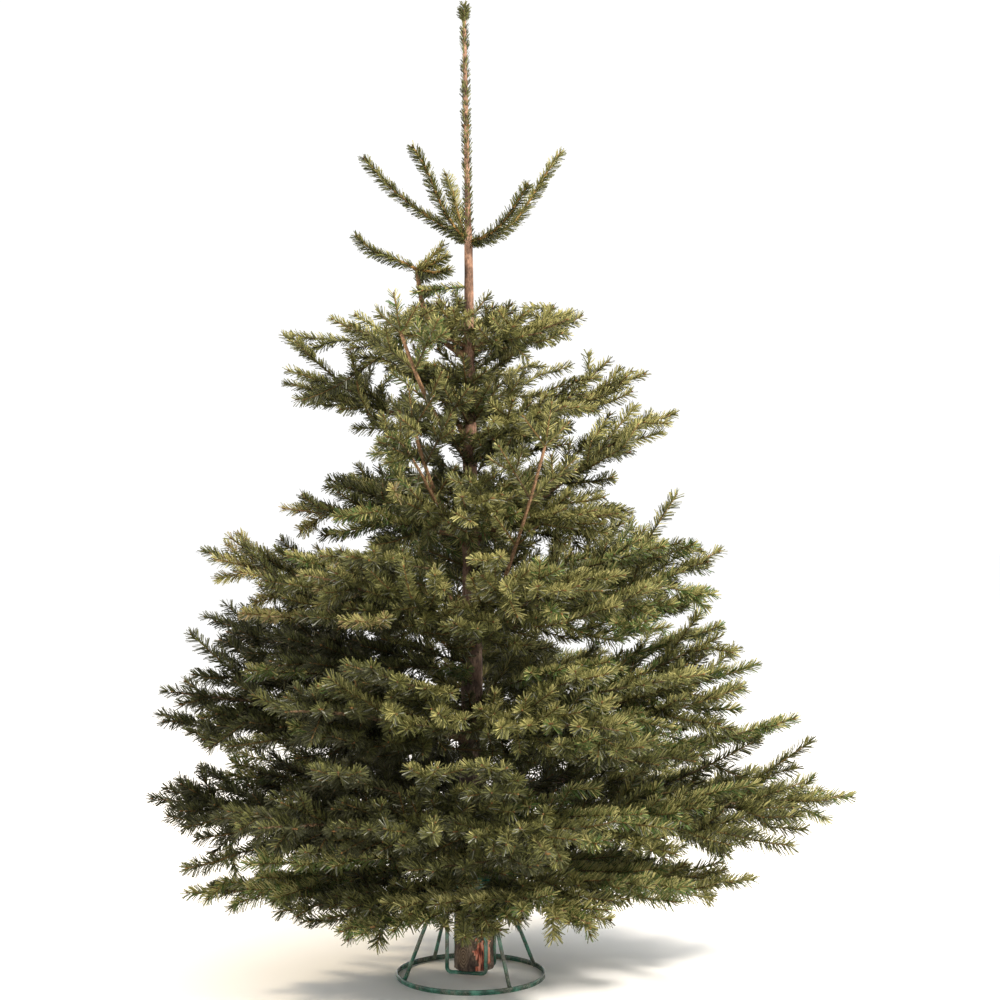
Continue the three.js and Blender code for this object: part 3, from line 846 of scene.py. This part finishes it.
def shoot_tones():
    """Each shoot's needle tone: from its spray, how far out and how high it is, and its place."""
    total = SPRAY.max() + 1
    luck = rng.normal(0, 0.4, total)[SPRAY]
    middle = (A + B) / 2
    high = middle[:, 2]
    axis = np.stack([np.interp(high, TRUNK[:, 0], TRUNK[:, k]) for k in (1, 2)], axis=1)
    away = middle[:, :2] - axis
    crown = np.interp(high, [0.15, 0.4, 0.9, 1.3, 1.7], [0.62, 0.66, 0.46, 0.30, 0.16])
    share = np.clip(np.linalg.norm(away, axis=1) / crown, 0, 1.2)
    left, right = middle[:, 0] < -0.14, middle[:, 0] > 0.12
    # painted light: lighter towards the tips, the top, and the front right, where the light comes from
    facing = (0.75 * away[:, 0] - 0.65 * away[:, 1]) / crown
    upper = np.clip((high - 0.95) / 0.4, 0, 1)
    tone = 0.45 + 0.9 * share + 1.1 * facing * (1 - 0.7 * upper) + luck + 0.4 * TIP + 1.5 * upper
    # darker for painted shade low down at the left and in the lower crown, lighter for painted light
    # before the trunk and over the foot
    tone -= 0.8 * ((middle[:, 0] < -0.2) & (high < 0.75))
    tone += 0.9 * np.exp(-((middle[:, 0] / 0.18) ** 2)) * (high > 0.55) * (high < 1.0)
    tone -= 0.4 * (high < 0.55) * (high > 0.3)
    tone += 0.5 * (high < 0.28)
    # the shoots of the top whorl take the lighter tones: painted light on the fully lit top
    tone = np.where(WHORL == 1, 2.6 + luck, tone)
    tone = np.where(SPRAY == 0, DEEP, tone)
    tone = np.clip(np.round(tone), 0, LIGHT).astype(int)
    dealt = rng.random(total)[SPRAY]
    gold = left & (high > 0.74) & (high < 1.05) & (share > 0.5) & (dealt < 0.3)
    fresh = right & (high < 0.9) & (share > 0.4) & (dealt > 0.6) | (WHORL > 1) & (dealt > 0.93)
    fresh |= (high < 0.28) & (dealt > 0.5)
    tone[gold] = GOLD
    tone[fresh & ~gold] = FRESH
    return tone


TONE = shoot_tones()
PIECE_TRIANGLES = 180000  # at most this many in one piece of needles


def make_needles():
    wanted = SPAN * COVER
    counts = rng.poisson(NEEDLE["count"] * wanted / wanted.sum())
    masses = {w: [n for n in foliage_nodes if n.startswith(f"foliage_{w}_")] for w in WHORLS}
    masses = {1: ["foliage_top", "foliage_side_leader"]} | masses
    for whorl, replaced in masses.items():
        members = np.flatnonzero(WHORL == whorl)
        groups = max(1, math.ceil(2 * counts[members].sum() / PIECE_TRIANGLES))
        # whole sprays go to one piece, so each piece is a part of the crown
        order = members[np.argsort(SPRAY[members], kind="stable")]
        shares = np.cumsum(counts[order]) / max(1, counts[order].sum())
        for g in range(groups):
            part = order[(shares > g / groups) & (shares <= (g + 1) / groups + 1e-9)]
            piece = needle_piece(f"needles_whorl_{whorl}_{g + 1}", np.repeat(part, counts[part]))
            finish_piece(piece, replaced)


def needle_piece(name, ids):
    """Needles on the given shoots, one entry of `ids` each. A needle is a blunt blade with a twist in it."""
    n = len(ids)
    t = rng.random(n)
    first = np.flatnonzero(np.r_[True, ids[1:] != ids[:-1]])
    rank = np.arange(n) - np.repeat(first, np.diff(np.r_[first, n]))
    a, m, b = A[ids], M[ids], B[ids]
    s = t[:, None]
    root = bow(a, m, b, s)
    along = unit((m - a) * (1 - s) + (b - m) * s)
    side = unit(np.cross(along, UPS[ids]))
    up = np.cross(side, along)
    # the turn round the twig: even all round, then a little of the underside is swept up to the sides
    turn = np.radians(rank * GOLDEN_ANGLE + rng.normal(0, 14, n))
    turn = np.arctan2(np.sin(turn), np.cos(turn))
    swept = np.sign(turn) * np.abs(turn) * (1 - 0.05 * np.abs(turn))
    # on the shoots of the top whorl they part above, so that the twig shows between them
    parted = np.sign(turn) * (0.55 + np.abs(turn) * (1 - 0.55 / math.pi))
    turn = np.where((WHORL[ids] == 1) & (SPRAY[ids] > 0), parted, np.where(WHORL[ids] == 1, turn, swept))
    above = np.cos(turn)
    near_tip = np.where(TIP[ids], t**8, 0)
    angle = np.radians(rng.normal(55, 4.5, n) - 7 * np.clip(above, 0, 1) - 24 * near_tip) * LEAN[ids]
    size = LONG[WHORL[ids]] * LENGTH[ids] * rng.uniform(0.82, 1.12, n) * (1 - 0.1 * np.clip(above, 0, 1))
    size *= (1 - 0.2 * (1 - t) ** 4) * (1 - 0.25 * near_tip)
    out = up * np.cos(turn)[:, None] + side * np.sin(turn)[:, None]
    way = unit(along * np.cos(angle)[:, None] + out * np.sin(angle)[:, None])
    radius = R0[ids] * (1 - t) + R1[ids] * t
    root = root + out * (0.7 * radius)[:, None]
    face = unit(0.5 * up + 0.6 * along + 0.75 * rng.normal(0, 1, (n, 3)))
    across = unit(np.cross(way, face))
    face = np.cross(across, way)
    half = (NEEDLE["width"] / 2 * rng.uniform(0.85, 1.15, n))[:, None]
    tip = root + way * size[:, None] + face * (size * rng.normal(0.05, 0.05, n))[:, None]
    twist = rng.uniform(0.6, 1.2, n)[:, None] * rng.choice([-1, 1], n)[:, None]
    blunt = (across * np.cos(twist) + face * np.sin(twist)) * half * 0.7
    wide = across * half * 0.9
    corners = np.stack([root - wide, root + wide, tip + blunt, tip - blunt], axis=1).reshape(-1, 3)
    base = np.arange(n)[:, None] * 4
    faces = np.concatenate([base + [0, 1, 2], base + [0, 2, 3]], axis=1).reshape(-1, 3)
    # the tone wanders from needle to needle, is lighter on top as painted light, and the underside shows pale
    # bands
    step = rng.choice([-2, -1, 0, 0, 1, 1], n) + np.round(0.9 * above).astype(int)
    tone = np.where(TONE[ids] <= LIGHT, np.clip(TONE[ids] + step, 0, LIGHT), TONE[ids])
    tone = np.where((TONE[ids] > LIGHT) & (step != 0), np.where(step > 0, LIGHT, GREEN), tone)
    tone = np.where((above < -0.2) & (rng.random(n) < 0.10) & (TONE[ids] > 0), UNDERSIDE, tone)
    return joined_mesh(name, corners, faces, np.repeat(tone, 2), needle_materials, False)


def rims(places, ways, ups, radii, sides):
    """Rings of corners round many places at once, each in the plane across its way."""
    across = unit(np.cross(ways, ups))
    up = np.cross(across, ways)
    turns = np.arange(sides) * 2 * math.pi / sides
    rim = up[:, None] * np.cos(turns)[None, :, None] - across[:, None] * np.sin(turns)[None, :, None]
    return places[:, None] + rim * radii[:, None, None]


def tubes(name, rings, tips, feet, slots, materials):
    """One mesh of many closed tubes: `rings` are their rims from foot to tip, with a point at each end."""
    many, sides = rings[0].shape[:2]
    corners = np.concatenate([*rings, tips[:, None], feet[:, None]], axis=1)
    head = sides * len(rings)
    pattern = []
    for k in range(sides):
        j = (k + 1) % sides
        for low in range(0, head - sides, sides):
            pattern += [[low + k, low + j, low + sides + j], [low + k, low + sides + j, low + sides + k]]
        pattern += [[head - sides + k, head - sides + j, head], [j, k, head + 1]]
    faces = (np.arange(many)[:, None, None] * corners.shape[1] + np.array(pattern)[None]).reshape(-1, 3)
    return joined_mesh(name, corners.reshape(-1, 3), faces, np.repeat(slots, len(pattern)), materials, True)


def twig_piece(name, ids):
    a, m, b = A[ids], M[ids], B[ids]
    rings = []
    for t in (0.0, 0.5, 1.0):
        along = unit((m - a) * (1 - t) + (b - m) * t)
        rings.append(rims(bow(a, m, b, t), along, UPS[ids], mix(R0[ids], R1[ids], t), 5))
    tips = b + unit(b - m) * (R1[ids] * 1.5)[:, None]
    tone = np.where(TIP[ids], YOUNG_BARK, np.where(R0[ids] > 0.003, OLD_BARK, BARK))
    tone = np.where(WHORL[ids] == 1, LAST_GROWTH, tone)
    return tubes(name, rings, tips, a, tone, twig_materials)


def bud_piece(name, places, ways, sizes):
    """Buds as small pointed barrels: a ring of five between two points."""
    tilted = np.array([0.31, 0.17, 0.94])  # a direction that no bud points in
    size = sizes[:, None]
    rim = rims(places + ways * size * 0.4, ways, tilted, sizes * 0.42, 5)
    tones = (rng.random(len(places)) < 0.4).astype(int)
    return tubes(name, [rim], places + ways * size * 1.25, places - ways * size * 0.35, tones, bud_materials)


def make_buds():
    """One bud at the end of each shoot, two more beside it on a strong one, and a ring on the leader."""
    tips = np.flatnonzero(TIP)
    ends, ways = B[tips], unit(B[tips] - M[tips])
    side = unit(np.cross(ways, UPS[tips]))
    size = rng.uniform(0.0040, 0.0054, len(tips))
    strong = ORDER[tips] < 2
    middle, radius = trunk_at(LEADER_BUDS)
    ring = unit(np.array([around(72 * k + 20, 1, 0.4) for k in range(5)]))
    places = [ends, *((ends + side * shift)[strong] for shift in (0.0022, -0.0022))]
    directions = [ways, *(unit(ways + side * lean)[strong] for lean in (0.8, -0.8))]
    sizes = [size, 0.8 * size[strong], 0.8 * size[strong]]
    places.append(np.array(middle) + ring * radius)
    directions.append(ring)
    sizes.append(np.full(5, 0.006))
    piece = bud_piece("buds", *(np.concatenate(rows) for rows in (places, directions, sizes)))
    finish_piece(piece)


make_needles()
wooden = np.flatnonzero((ORDER > 0) | (WHORL == 1) & (SPRAY > 0))
half = len(wooden) // 2
finish_piece(twig_piece("twigs_upper", wooden[:half]))
finish_piece(twig_piece("twigs_lower", wooden[half:]))
make_buds()

# --- the trunk and the boughs, with the relief of their bark ---


def trunk_bark_material():
    # Fir bark: grey-brown and furrowed at the foot, smooth and warmer towards the top, where last
    # years' growth is still orange-brown. Plates about 14 mm across, fine grain about 2 mm.
    material, shader = new_material("fir_bark_trunk")
    where = add_node(material, "ShaderNodeTexCoord", "Object")
    height = add_node(material, "ShaderNodeSeparateXYZ", "Z", Vector=where)
    along = add_node(material, "ShaderNodeMapping", Vector=where, Scale=(1, 1, 0.35))
    plates = add_node(material, "ShaderNodeTexNoise", Vector=along, Scale=70.0, Detail=6.0, Roughness=0.62)
    grain = add_node(material, "ShaderNodeTexNoise", Vector=along, Scale=420.0, Detail=3.0, Roughness=0.6)
    blotch = add_node(material, "ShaderNodeTexNoise", Vector=where, Scale=34.0, Detail=4.0)
    old = ramp(material, plates, (0.3, "#352b23"), (0.62, "#9c8672"), (0.45, "#65544a"), (0.52, "#7c6a5a"))
    young = ramp(material, blotch, (0.34, "#654e40"), (0.66, "#d3aa8f"), (0.45, "#987661"), (0.55, "#b88f77"))
    rise = add_node(material, "ShaderNodeMapRange", Value=height, From_Min=0.45, From_Max=1.25)
    colour = add_node(material, "ShaderNodeMix", 2, {"data_type": "RGBA"}, _0=rise, _6=old, _7=young)
    fine = ramp(material, grain, (0.3, "#8f8f8f"), (0.7, "#ffffff"))
    multiplied = {"data_type": "RGBA", "blend_type": "MULTIPLY"}
    colour = add_node(material, "ShaderNodeMix", 2, multiplied, _0=1.0, _6=colour, _7=fine)
    bump = add_node(material, "ShaderNodeBump", Height=plates, Strength=0.5, Distance=0.0015)
    bump = add_node(material, "ShaderNodeBump", Height=grain, Strength=0.35, Distance=0.0006, Normal=bump)
    set_inputs(shader, Base_Color=colour, Normal=bump, Roughness=0.82, Specular_IOR_Level=0.3)
    return material


def wood_material(name, dark, mid, light, rings=None):
    # Bare fir wood. `rings` gives a sawn face's ring spacing in millimetres, the rings' middle and how
    # far they are drawn out upwards; split wood has none.
    material, shader = new_material(name)
    where = add_node(material, "ShaderNodeTexCoord", "Object")
    if rings:
        spacing, middle, drawn = rings
        squash = Vector((1, 1, drawn))
        at = add_node(material, "ShaderNodeMapping", Vector=where, Scale=squash, Location=-middle * squash)
        pattern = add_node(
            material,
            "ShaderNodeTexWave",
            "Fac",
            {"wave_type": "RINGS", "rings_direction": "SPHERICAL"},
            Vector=at,
            Scale=1000 * math.pi / 10 / spacing,
            Distortion=2.2,
            Detail=2.0,
        )
    else:
        at = add_node(material, "ShaderNodeMapping", Vector=where, Scale=(1, 1, 0.22))
        pattern = add_node(material, "ShaderNodeTexNoise", Vector=at, Scale=190.0, Detail=5.0)
    reach = 0.2 if rings else 0.1
    colour = ramp(material, pattern, (0.5 - reach, dark), (0.5 + reach, light), (0.5, mid))
    bump = add_node(material, "ShaderNodeBump", Height=pattern, Strength=0.4, Distance=0.0008)
    set_inputs(shader, Base_Color=colour, Normal=bump, Roughness=0.68, Specular_IOR_Level=0.35)
    return material


KNOT = {"azimuth": 236, "height": 0.047, "wide": 0.0135, "tall": 0.023}
PEELED = {"azimuth": 302, "height": 0.050, "wide": 0.022, "tall": 0.036}
bough_feet = [(path[0].z, bearing(path[0], path[3]), radii[0]) for path, radii in boughs]


def way_round(a, b, radius):
    """The way round the bark from azimuth b to azimuth a."""
    return ((a - b + 180) % 360 - 180) * math.pi / 180 * radius


def bark_relief(azimuth, z, radius):
    """How far the bark stands out, or lies in, at a place on the trunk."""
    flat = around(azimuth, radius).xy
    rough = 1 - smooth(0.25, 1.0, z)
    ridge = 1 - abs(noise.fractal(Vector((*(flat * 75), z * 22)), 0.8, 2.1, 4))
    lumps = noise.noise(Vector((*(flat * 26), z * 9)))
    fine = noise.noise(Vector((*(flat * 260), z * 170)))
    out = (0.0006 + 0.0030 * rough) * (ridge - 0.75) + (0.0006 + 0.0016 * rough) * lumps
    out += 0.00028 * fine * mix(0.8, 1.6, rough)
    for foot_z, foot_azimuth, foot_radius in bough_feet:
        dz = (z - foot_z - 0.006) / (foot_radius * 1.9 + 0.005)
        if abs(dz) < 2.5:
            da = way_round(azimuth, foot_azimuth, radius) / (foot_radius * 1.6 + 0.003)
            out += min(0.005, 0.45 * foot_radius) * math.exp(-dz * dz - da * da)
    return out


def oval(place, azimuth, z, radius):
    """How far a place on the trunk is from the middle of an oval mark, as a share of its size."""
    across = way_round(azimuth, place["azimuth"], radius) / place["wide"]
    return math.hypot(across, (z - place["height"]) / place["tall"])


def make_trunk():
    low, high = float(TRUNK[0, 0]), float(TRUNK[-1, 0])
    # rings 3.2 mm apart at the foot, where most of the bark shows, then wider apart towards the top
    heights = list(np.arange(low, 0.22, 0.0032))
    heights += list(np.arange(heights[-1] + 0.006, 1.5, 0.0075)) + list(np.arange(1.51, high, 0.012)) + [high]
    bm = bmesh.new()
    path, radii = zip(*(trunk_at(z) for z in heights))
    marks = {}  # how far each vertex is from the middle of the knot and of the torn bark
    for ring, z, middle, radius in zip(sweep(bm, path, radii, 72), heights, path, radii):
        for v in ring:
            azimuth = bearing(middle, v.co)
            out = bark_relief(azimuth, z, radius)
            if z > 1.5:
                out *= 0.35
            # bark stands up round the knot, and its sawn face lies 1.2 mm deep
            knot = oval(KNOT, azimuth, z, radius)
            if knot < 1.8:
                sunk = smooth(1.0, 0.86, knot)
                rim = math.exp(-(((knot - 1.15) / 0.22) ** 2))
                out = out * (1 - sunk) + 0.0024 * rim - 0.0012 * sunk + 0.0003 * math.sin(19 * knot) * sunk
            torn = oval(PEELED, azimuth, z, radius) + 0.75 * noise.noise(v.co * 110)
            if torn < 1.3:
                sunk = smooth(1.05, 0.85, torn)
                out = out * (1 - 0.6 * sunk) - 0.0016 * sunk
            marks[v] = (knot, torn)
            v.co += (v.co - middle).normalized() * out
    for face in bm.faces:
        if len(face.verts) > 4:
            face.material_index = 3 if face.calc_center_median().z < 0.1 else 0
            continue
        knot, torn = (max(marks[v][k] for v in face.verts) for k in (0, 1))
        face.material_index = 1 if knot < 1.02 else 2 if torn < 1.05 else 0
    middle, radius = trunk_at(KNOT["height"])
    middle += around(KNOT["azimuth"], radius)
    materials = [
        trunk_bark_material(),
        wood_material("fir_knot_sawn", "#4f4033", "#6a5746", "#84705a", (3.2, middle, 0.55)),
        wood_material("fir_wood_under_torn_bark", "#54291f", "#c4694f", "#eaa98c"),
        wood_material("fir_wood_sawn_foot", "#8a6f4d", "#b8976b", "#d0b48a", (3.4, path[0], 1.0)),
    ]
    finish_piece(to_piece("trunk_bark_relief", bm, materials), ["trunk"])


def bough_bark_material():
    # Bark of a branch: thin, orange-brown on young wood, with grey scales; scales about 4 mm.
    material, shader = new_material("fir_bark_bough")
    where = add_node(material, "ShaderNodeTexCoord", "Object")
    scales = add_node(material, "ShaderNodeTexNoise", Vector=where, Scale=240.0, Detail=5.0, Roughness=0.6)
    large = add_node(material, "ShaderNodeTexNoise", Vector=where, Scale=24.0, Detail=3.0)
    brown = ramp(material, scales, (0.3, "#4a382a"), (0.7, "#a98662"), (0.5, "#7e6045"))
    grey = ramp(material, scales, (0.3, "#2e2822"), (0.7, "#786b5c"), (0.5, "#51473b"))
    height = add_node(material, "ShaderNodeSeparateXYZ", "Z", Vector=where)
    # greyer low on the tree: 0.85 of the noise's share at 0.55 m, and 0.1 of it from 1.1 m on
    fade = dict(From_Min=0.55, From_Max=1.1, To_Min=0.85, To_Max=0.1)
    low = add_node(material, "ShaderNodeMapRange", Value=height, **fade)
    share = add_node(material, "ShaderNodeMath", 0, {"operation": "MULTIPLY"}, _0=low, _1=large)
    colour = add_node(material, "ShaderNodeMix", 2, {"data_type": "RGBA"}, _0=share, _6=brown, _7=grey)
    bump = add_node(material, "ShaderNodeBump", Height=scales, Strength=0.5, Distance=0.0008)
    set_inputs(shader, Base_Color=colour, Normal=bump, Roughness=0.78, Specular_IOR_Level=0.3)
    return material


def make_boughs():
    bm = bmesh.new()
    for path, radii in boughs:
        # the wood flares where it leaves the trunk
        foot, trunk_radius = trunk_at(path[0].z)
        shown = []
        for place, radius in zip(path, radii):
            away = (place.xy - foot.xy).length
            flare = 1 + 0.7 * math.exp(-(((away - trunk_radius) / 0.012) ** 2)) if away > 0 else 1.7
            shown.append(radius * flare)
        rings = sweep(bm, path, shown, 10)
        for ring, place, radius in zip(rings, path, shown):
            for v in ring:
                rough = noise.fractal(v.co * 90, 0.9, 2.0, 3) + 0.6 * noise.noise(v.co * 30)
                v.co += (v.co - place).normalized() * rough * min(0.0011, 0.13 * radius)
    piece = to_piece("boughs_bark_relief", bm, [bough_bark_material()])
    finish_piece(piece, sorted(n for n in nodes if n.startswith("bough_")))


make_trunk()
make_boughs()

# --- the stand ---


def stand_enamel():
    # Enamel paint on steel rod, dark green: worn through to brown where it is handled and grey where
    # it is scratched, in patches 20 to 80 mm long, with a satin gloss.
    material, shader = new_material("steel_green_enamel_worn")
    where = add_node(material, "ShaderNodeTexCoord", "Object")
    patches = add_node(material, "ShaderNodeTexNoise", Vector=where, Scale=42.0, Detail=5.0, Roughness=0.6)
    specks = add_node(material, "ShaderNodeTexNoise", Vector=where, Scale=310.0, Detail=3.0)
    paint = ramp(material, patches, (0.35, "#23453a"), (0.65, "#56907b"), (0.5, "#346352"))
    rust = ramp(material, specks, (0.35, "#3b342c"), (0.65, "#8d8677"), (0.5, "#5b5246"))
    worn = add_node(material, "ShaderNodeTexNoise", Vector=where, Scale=13.0, Detail=7.0, Roughness=0.68)
    bare = ramp(material, worn, (0.45, "#000000"), (0.56, "#d8d8d8"))
    colour = add_node(material, "ShaderNodeMix", 2, {"data_type": "RGBA"}, _0=bare, _6=paint, _7=rust)
    gloss = ramp(material, bare, (0.0, "#5a5a5a"), (1.0, "#c0c0c0"))
    bump = add_node(material, "ShaderNodeBump", Height=specks, Strength=0.25, Distance=0.0004)
    set_inputs(shader, Base_Color=colour, Normal=bump, Roughness=gloss, Metallic=0.0, IOR=1.5)
    return material


enamel = stand_enamel()
ROD = 0.004


def enamelled(name, bm, *stand_nodes):
    finish_piece(to_piece(name, bm, [enamel]), stand_nodes)


def band(name, inner, outer, low, high, node):
    """A flat steel strip bent to a hoop: its section, edges rounded, spun round the stand's centre."""
    bm = bmesh.new()
    lip = 0.0009
    section = [(inner + lip, low), (outer - lip, low), (outer, low + lip), (outer, high - lip)]
    section += [(outer - lip, high), (inner + lip, high), (inner, high - lip), (inner, low + lip)]
    verts = [bm.verts.new((CENTRE.x + r, CENTRE.y, z)) for r, z in section]
    edges = [bm.edges.new((verts[i], verts[(i + 1) % len(verts)])) for i in range(len(verts))]
    bmesh.ops.spin(
        bm, geom=verts + edges, cent=CENTRE, axis=UP, angle=2 * math.pi, steps=128, use_merge=True
    )
    bmesh.ops.remove_doubles(bm, verts=bm.verts, dist=1e-6)
    bmesh.ops.recalc_face_normals(bm, faces=bm.faces)
    enamelled(name, bm, node)


def rounded_path(points, corner):
    """Straight runs between points, with a round bend at each inner one."""
    path = [points[0]]
    for before, here, after in zip(points, points[1:], points[2:]):
        a, b = (here + (end - here).normalized() * corner for end in (before, after))
        path += [bow(a, here, b, i / 9) for i in range(10)]
    return path + [points[-1]]


def bent_rod(bm, points, corner=0, radius=ROD):
    """A round rod, bent at its inner points, with its two ends eased."""
    path = rounded_path(points, corner)
    foot = path[0] + (path[1] - path[0]).normalized() * 0.0006
    head = path[-1] + (path[-2] - path[-1]).normalized() * 0.0006
    path = [path[0], foot, *path[1:-1], head, path[-1]]
    radii = [radius * 0.86] + [radius] * (len(path) - 2) + [radius * 0.86]
    sweep(bm, path, radii, 18)


def weld(bm, place, size):
    """A bead of weld: a small uneven ball, half sunk in what it joins."""
    made = bmesh.ops.create_icosphere(bm, subdivisions=3, radius=size)["verts"]
    for v in made:
        v.co *= 1 + 0.25 * noise.noise(v.co * 420 + place * 50)
    bmesh.ops.scale(bm, verts=made, vec=(1, 1, 0.75))
    bmesh.ops.translate(bm, verts=made, vec=place)


ring_outer = (ring_high.x - ring_low.x) / 2
STRIP = 0.003  # how thick the strip of the ring and of the collar is
band("stand_ring_band", ring_outer - STRIP, ring_outer, ring_low.z, ring_high.z, "stand_ring")

COLLAR_INNER = 0.061
SCREW_HEIGHT = 0.2025
bm = bmesh.new()
legs = [f"stand_leg_{k}" for k in range(1, 5)]
for leg in legs:
    low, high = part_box(leg)
    azimuth = bearing(CENTRE, (low + high) / 2)
    foot = CENTRE + around(azimuth, ring_outer - STRIP - ROD * 0.96, 0.0046)
    bend = CENTRE + around(azimuth, COLLAR_INNER + STRIP + ROD, 0.188)
    top = CENTRE + around(azimuth, COLLAR_INNER + STRIP + ROD, high.z)
    bent_rod(bm, [foot, bend, top], 0.008)
    weld(bm, foot + around(azimuth, 0.0022, 0.0012), 0.0042)
    weld(bm, Vector((*foot.xy, 0.0098)) + around(azimuth, 0.002), 0.0030)
    weld(bm, top + around(azimuth + 180, 0.003, -0.012), 0.0042)
enamelled("stand_legs", bm, *legs)

CRADLE = {"turn": -14, "width": 0.082, "offset": 0.035, "corner": 0.011, "bar": 0.015, "top": 0.213}
for name, hand in (("front", -1), ("back", 1)):
    bm = bmesh.new()
    away = around(CRADLE["turn"] + 90, hand * CRADLE["offset"]) + CENTRE

    def end(s, z):
        return away + around(CRADLE["turn"], s * CRADLE["width"] / 2) + UP * z

    corners = [end(-1, CRADLE["top"]), end(-1, CRADLE["bar"]), end(1, CRADLE["bar"]), end(1, CRADLE["top"])]
    bent_rod(bm, corners, CRADLE["corner"])
    for s in (-1, 1):
        weld(bm, end(s, CRADLE["top"] - 0.004), 0.0045)
    enamelled(f"stand_cradle_{name}_rod", bm, f"stand_cradle_{name}")

band("stand_collar_band", COLLAR_INNER, COLLAR_INNER + STRIP, 0.190, 0.215, "stand_collar")
# Each clamp screw has its nut outside the collar and a bar across its head.
bm = bmesh.new()
middle, radius = trunk_at(SCREW_HEIGHT)
for azimuth in (74, 164, 254, 344):
    tip = middle + around(azimuth, radius - 0.001)
    head = middle + around(azimuth, 0.088)
    bent_rod(bm, [tip, head], radius=0.0035)
    nut = bmesh.ops.create_cone(
        bm, cap_ends=True, segments=6, radius1=0.0072, radius2=0.0072, depth=0.006
    )["verts"]
    turn = Matrix.Rotation(math.radians(azimuth), 4, "Z") @ Matrix.Rotation(math.pi / 2, 4, "Y")
    shift = Matrix.Translation(CENTRE + around(azimuth, 0.067, SCREW_HEIGHT))
    bmesh.ops.transform(bm, matrix=shift @ turn, verts=nut)
    bent_rod(bm, [head - UP * 0.015, head + UP * 0.015], radius=0.0032)
enamelled("stand_clamp_screws", bm)

# --- floor, light and camera ---

floor_material, floor_shader = new_material("paper_backdrop_white")
set_inputs(floor_shader, Base_Color=linear("#fbfbfa"), Roughness=1.0, Specular_IOR_Level=0.0)
bm = bmesh.new()
bmesh.ops.create_grid(bm, x_segments=1, y_segments=1, size=30)
floor = to_piece("floor", bm, [floor_material])

world = bpy.data.worlds.new("studio")
bpy.context.scene.world = world
world.use_nodes = True
world.node_tree.nodes["Background"].inputs["Color"].default_value = linear("#ffffff")
world.node_tree.nodes["Background"].inputs["Strength"].default_value = 1.05


def area_light(name, place, size, power, code):
    """A round lamp that faces the middle of the tree."""
    data = bpy.data.lights.new(name, "AREA")
    data.shape = "DISK"
    data.size = size
    data.energy = power
    data.color = linear(code)[:3]
    way = CENTRE + UP * 0.9 - place
    turn = way.to_track_quat("-Z", "Y").to_matrix().to_4x4()
    add_object(name, data).matrix_world = Matrix.Translation(place) @ turn


area_light("key", CENTRE + Vector((2.6, -2.4, 3.6)), 1.0, 330, "#fff5e8")
area_light("side", CENTRE + Vector((-3.4, 0.6, 3.2)), 0.8, 150, "#ffe9c8")

camera_data = bpy.data.cameras.new("camera")
camera_data.sensor_width = 36
camera_data.lens = 66.56
camera = add_object("camera", camera_data)
camera.location = CENTRE + Vector((0.060, -3.8, 0.978))
camera.rotation_euler = (math.pi / 2, 0, 0)
bpy.context.scene.camera = camera
bpy.context.scene.view_settings.view_transform = "Standard"
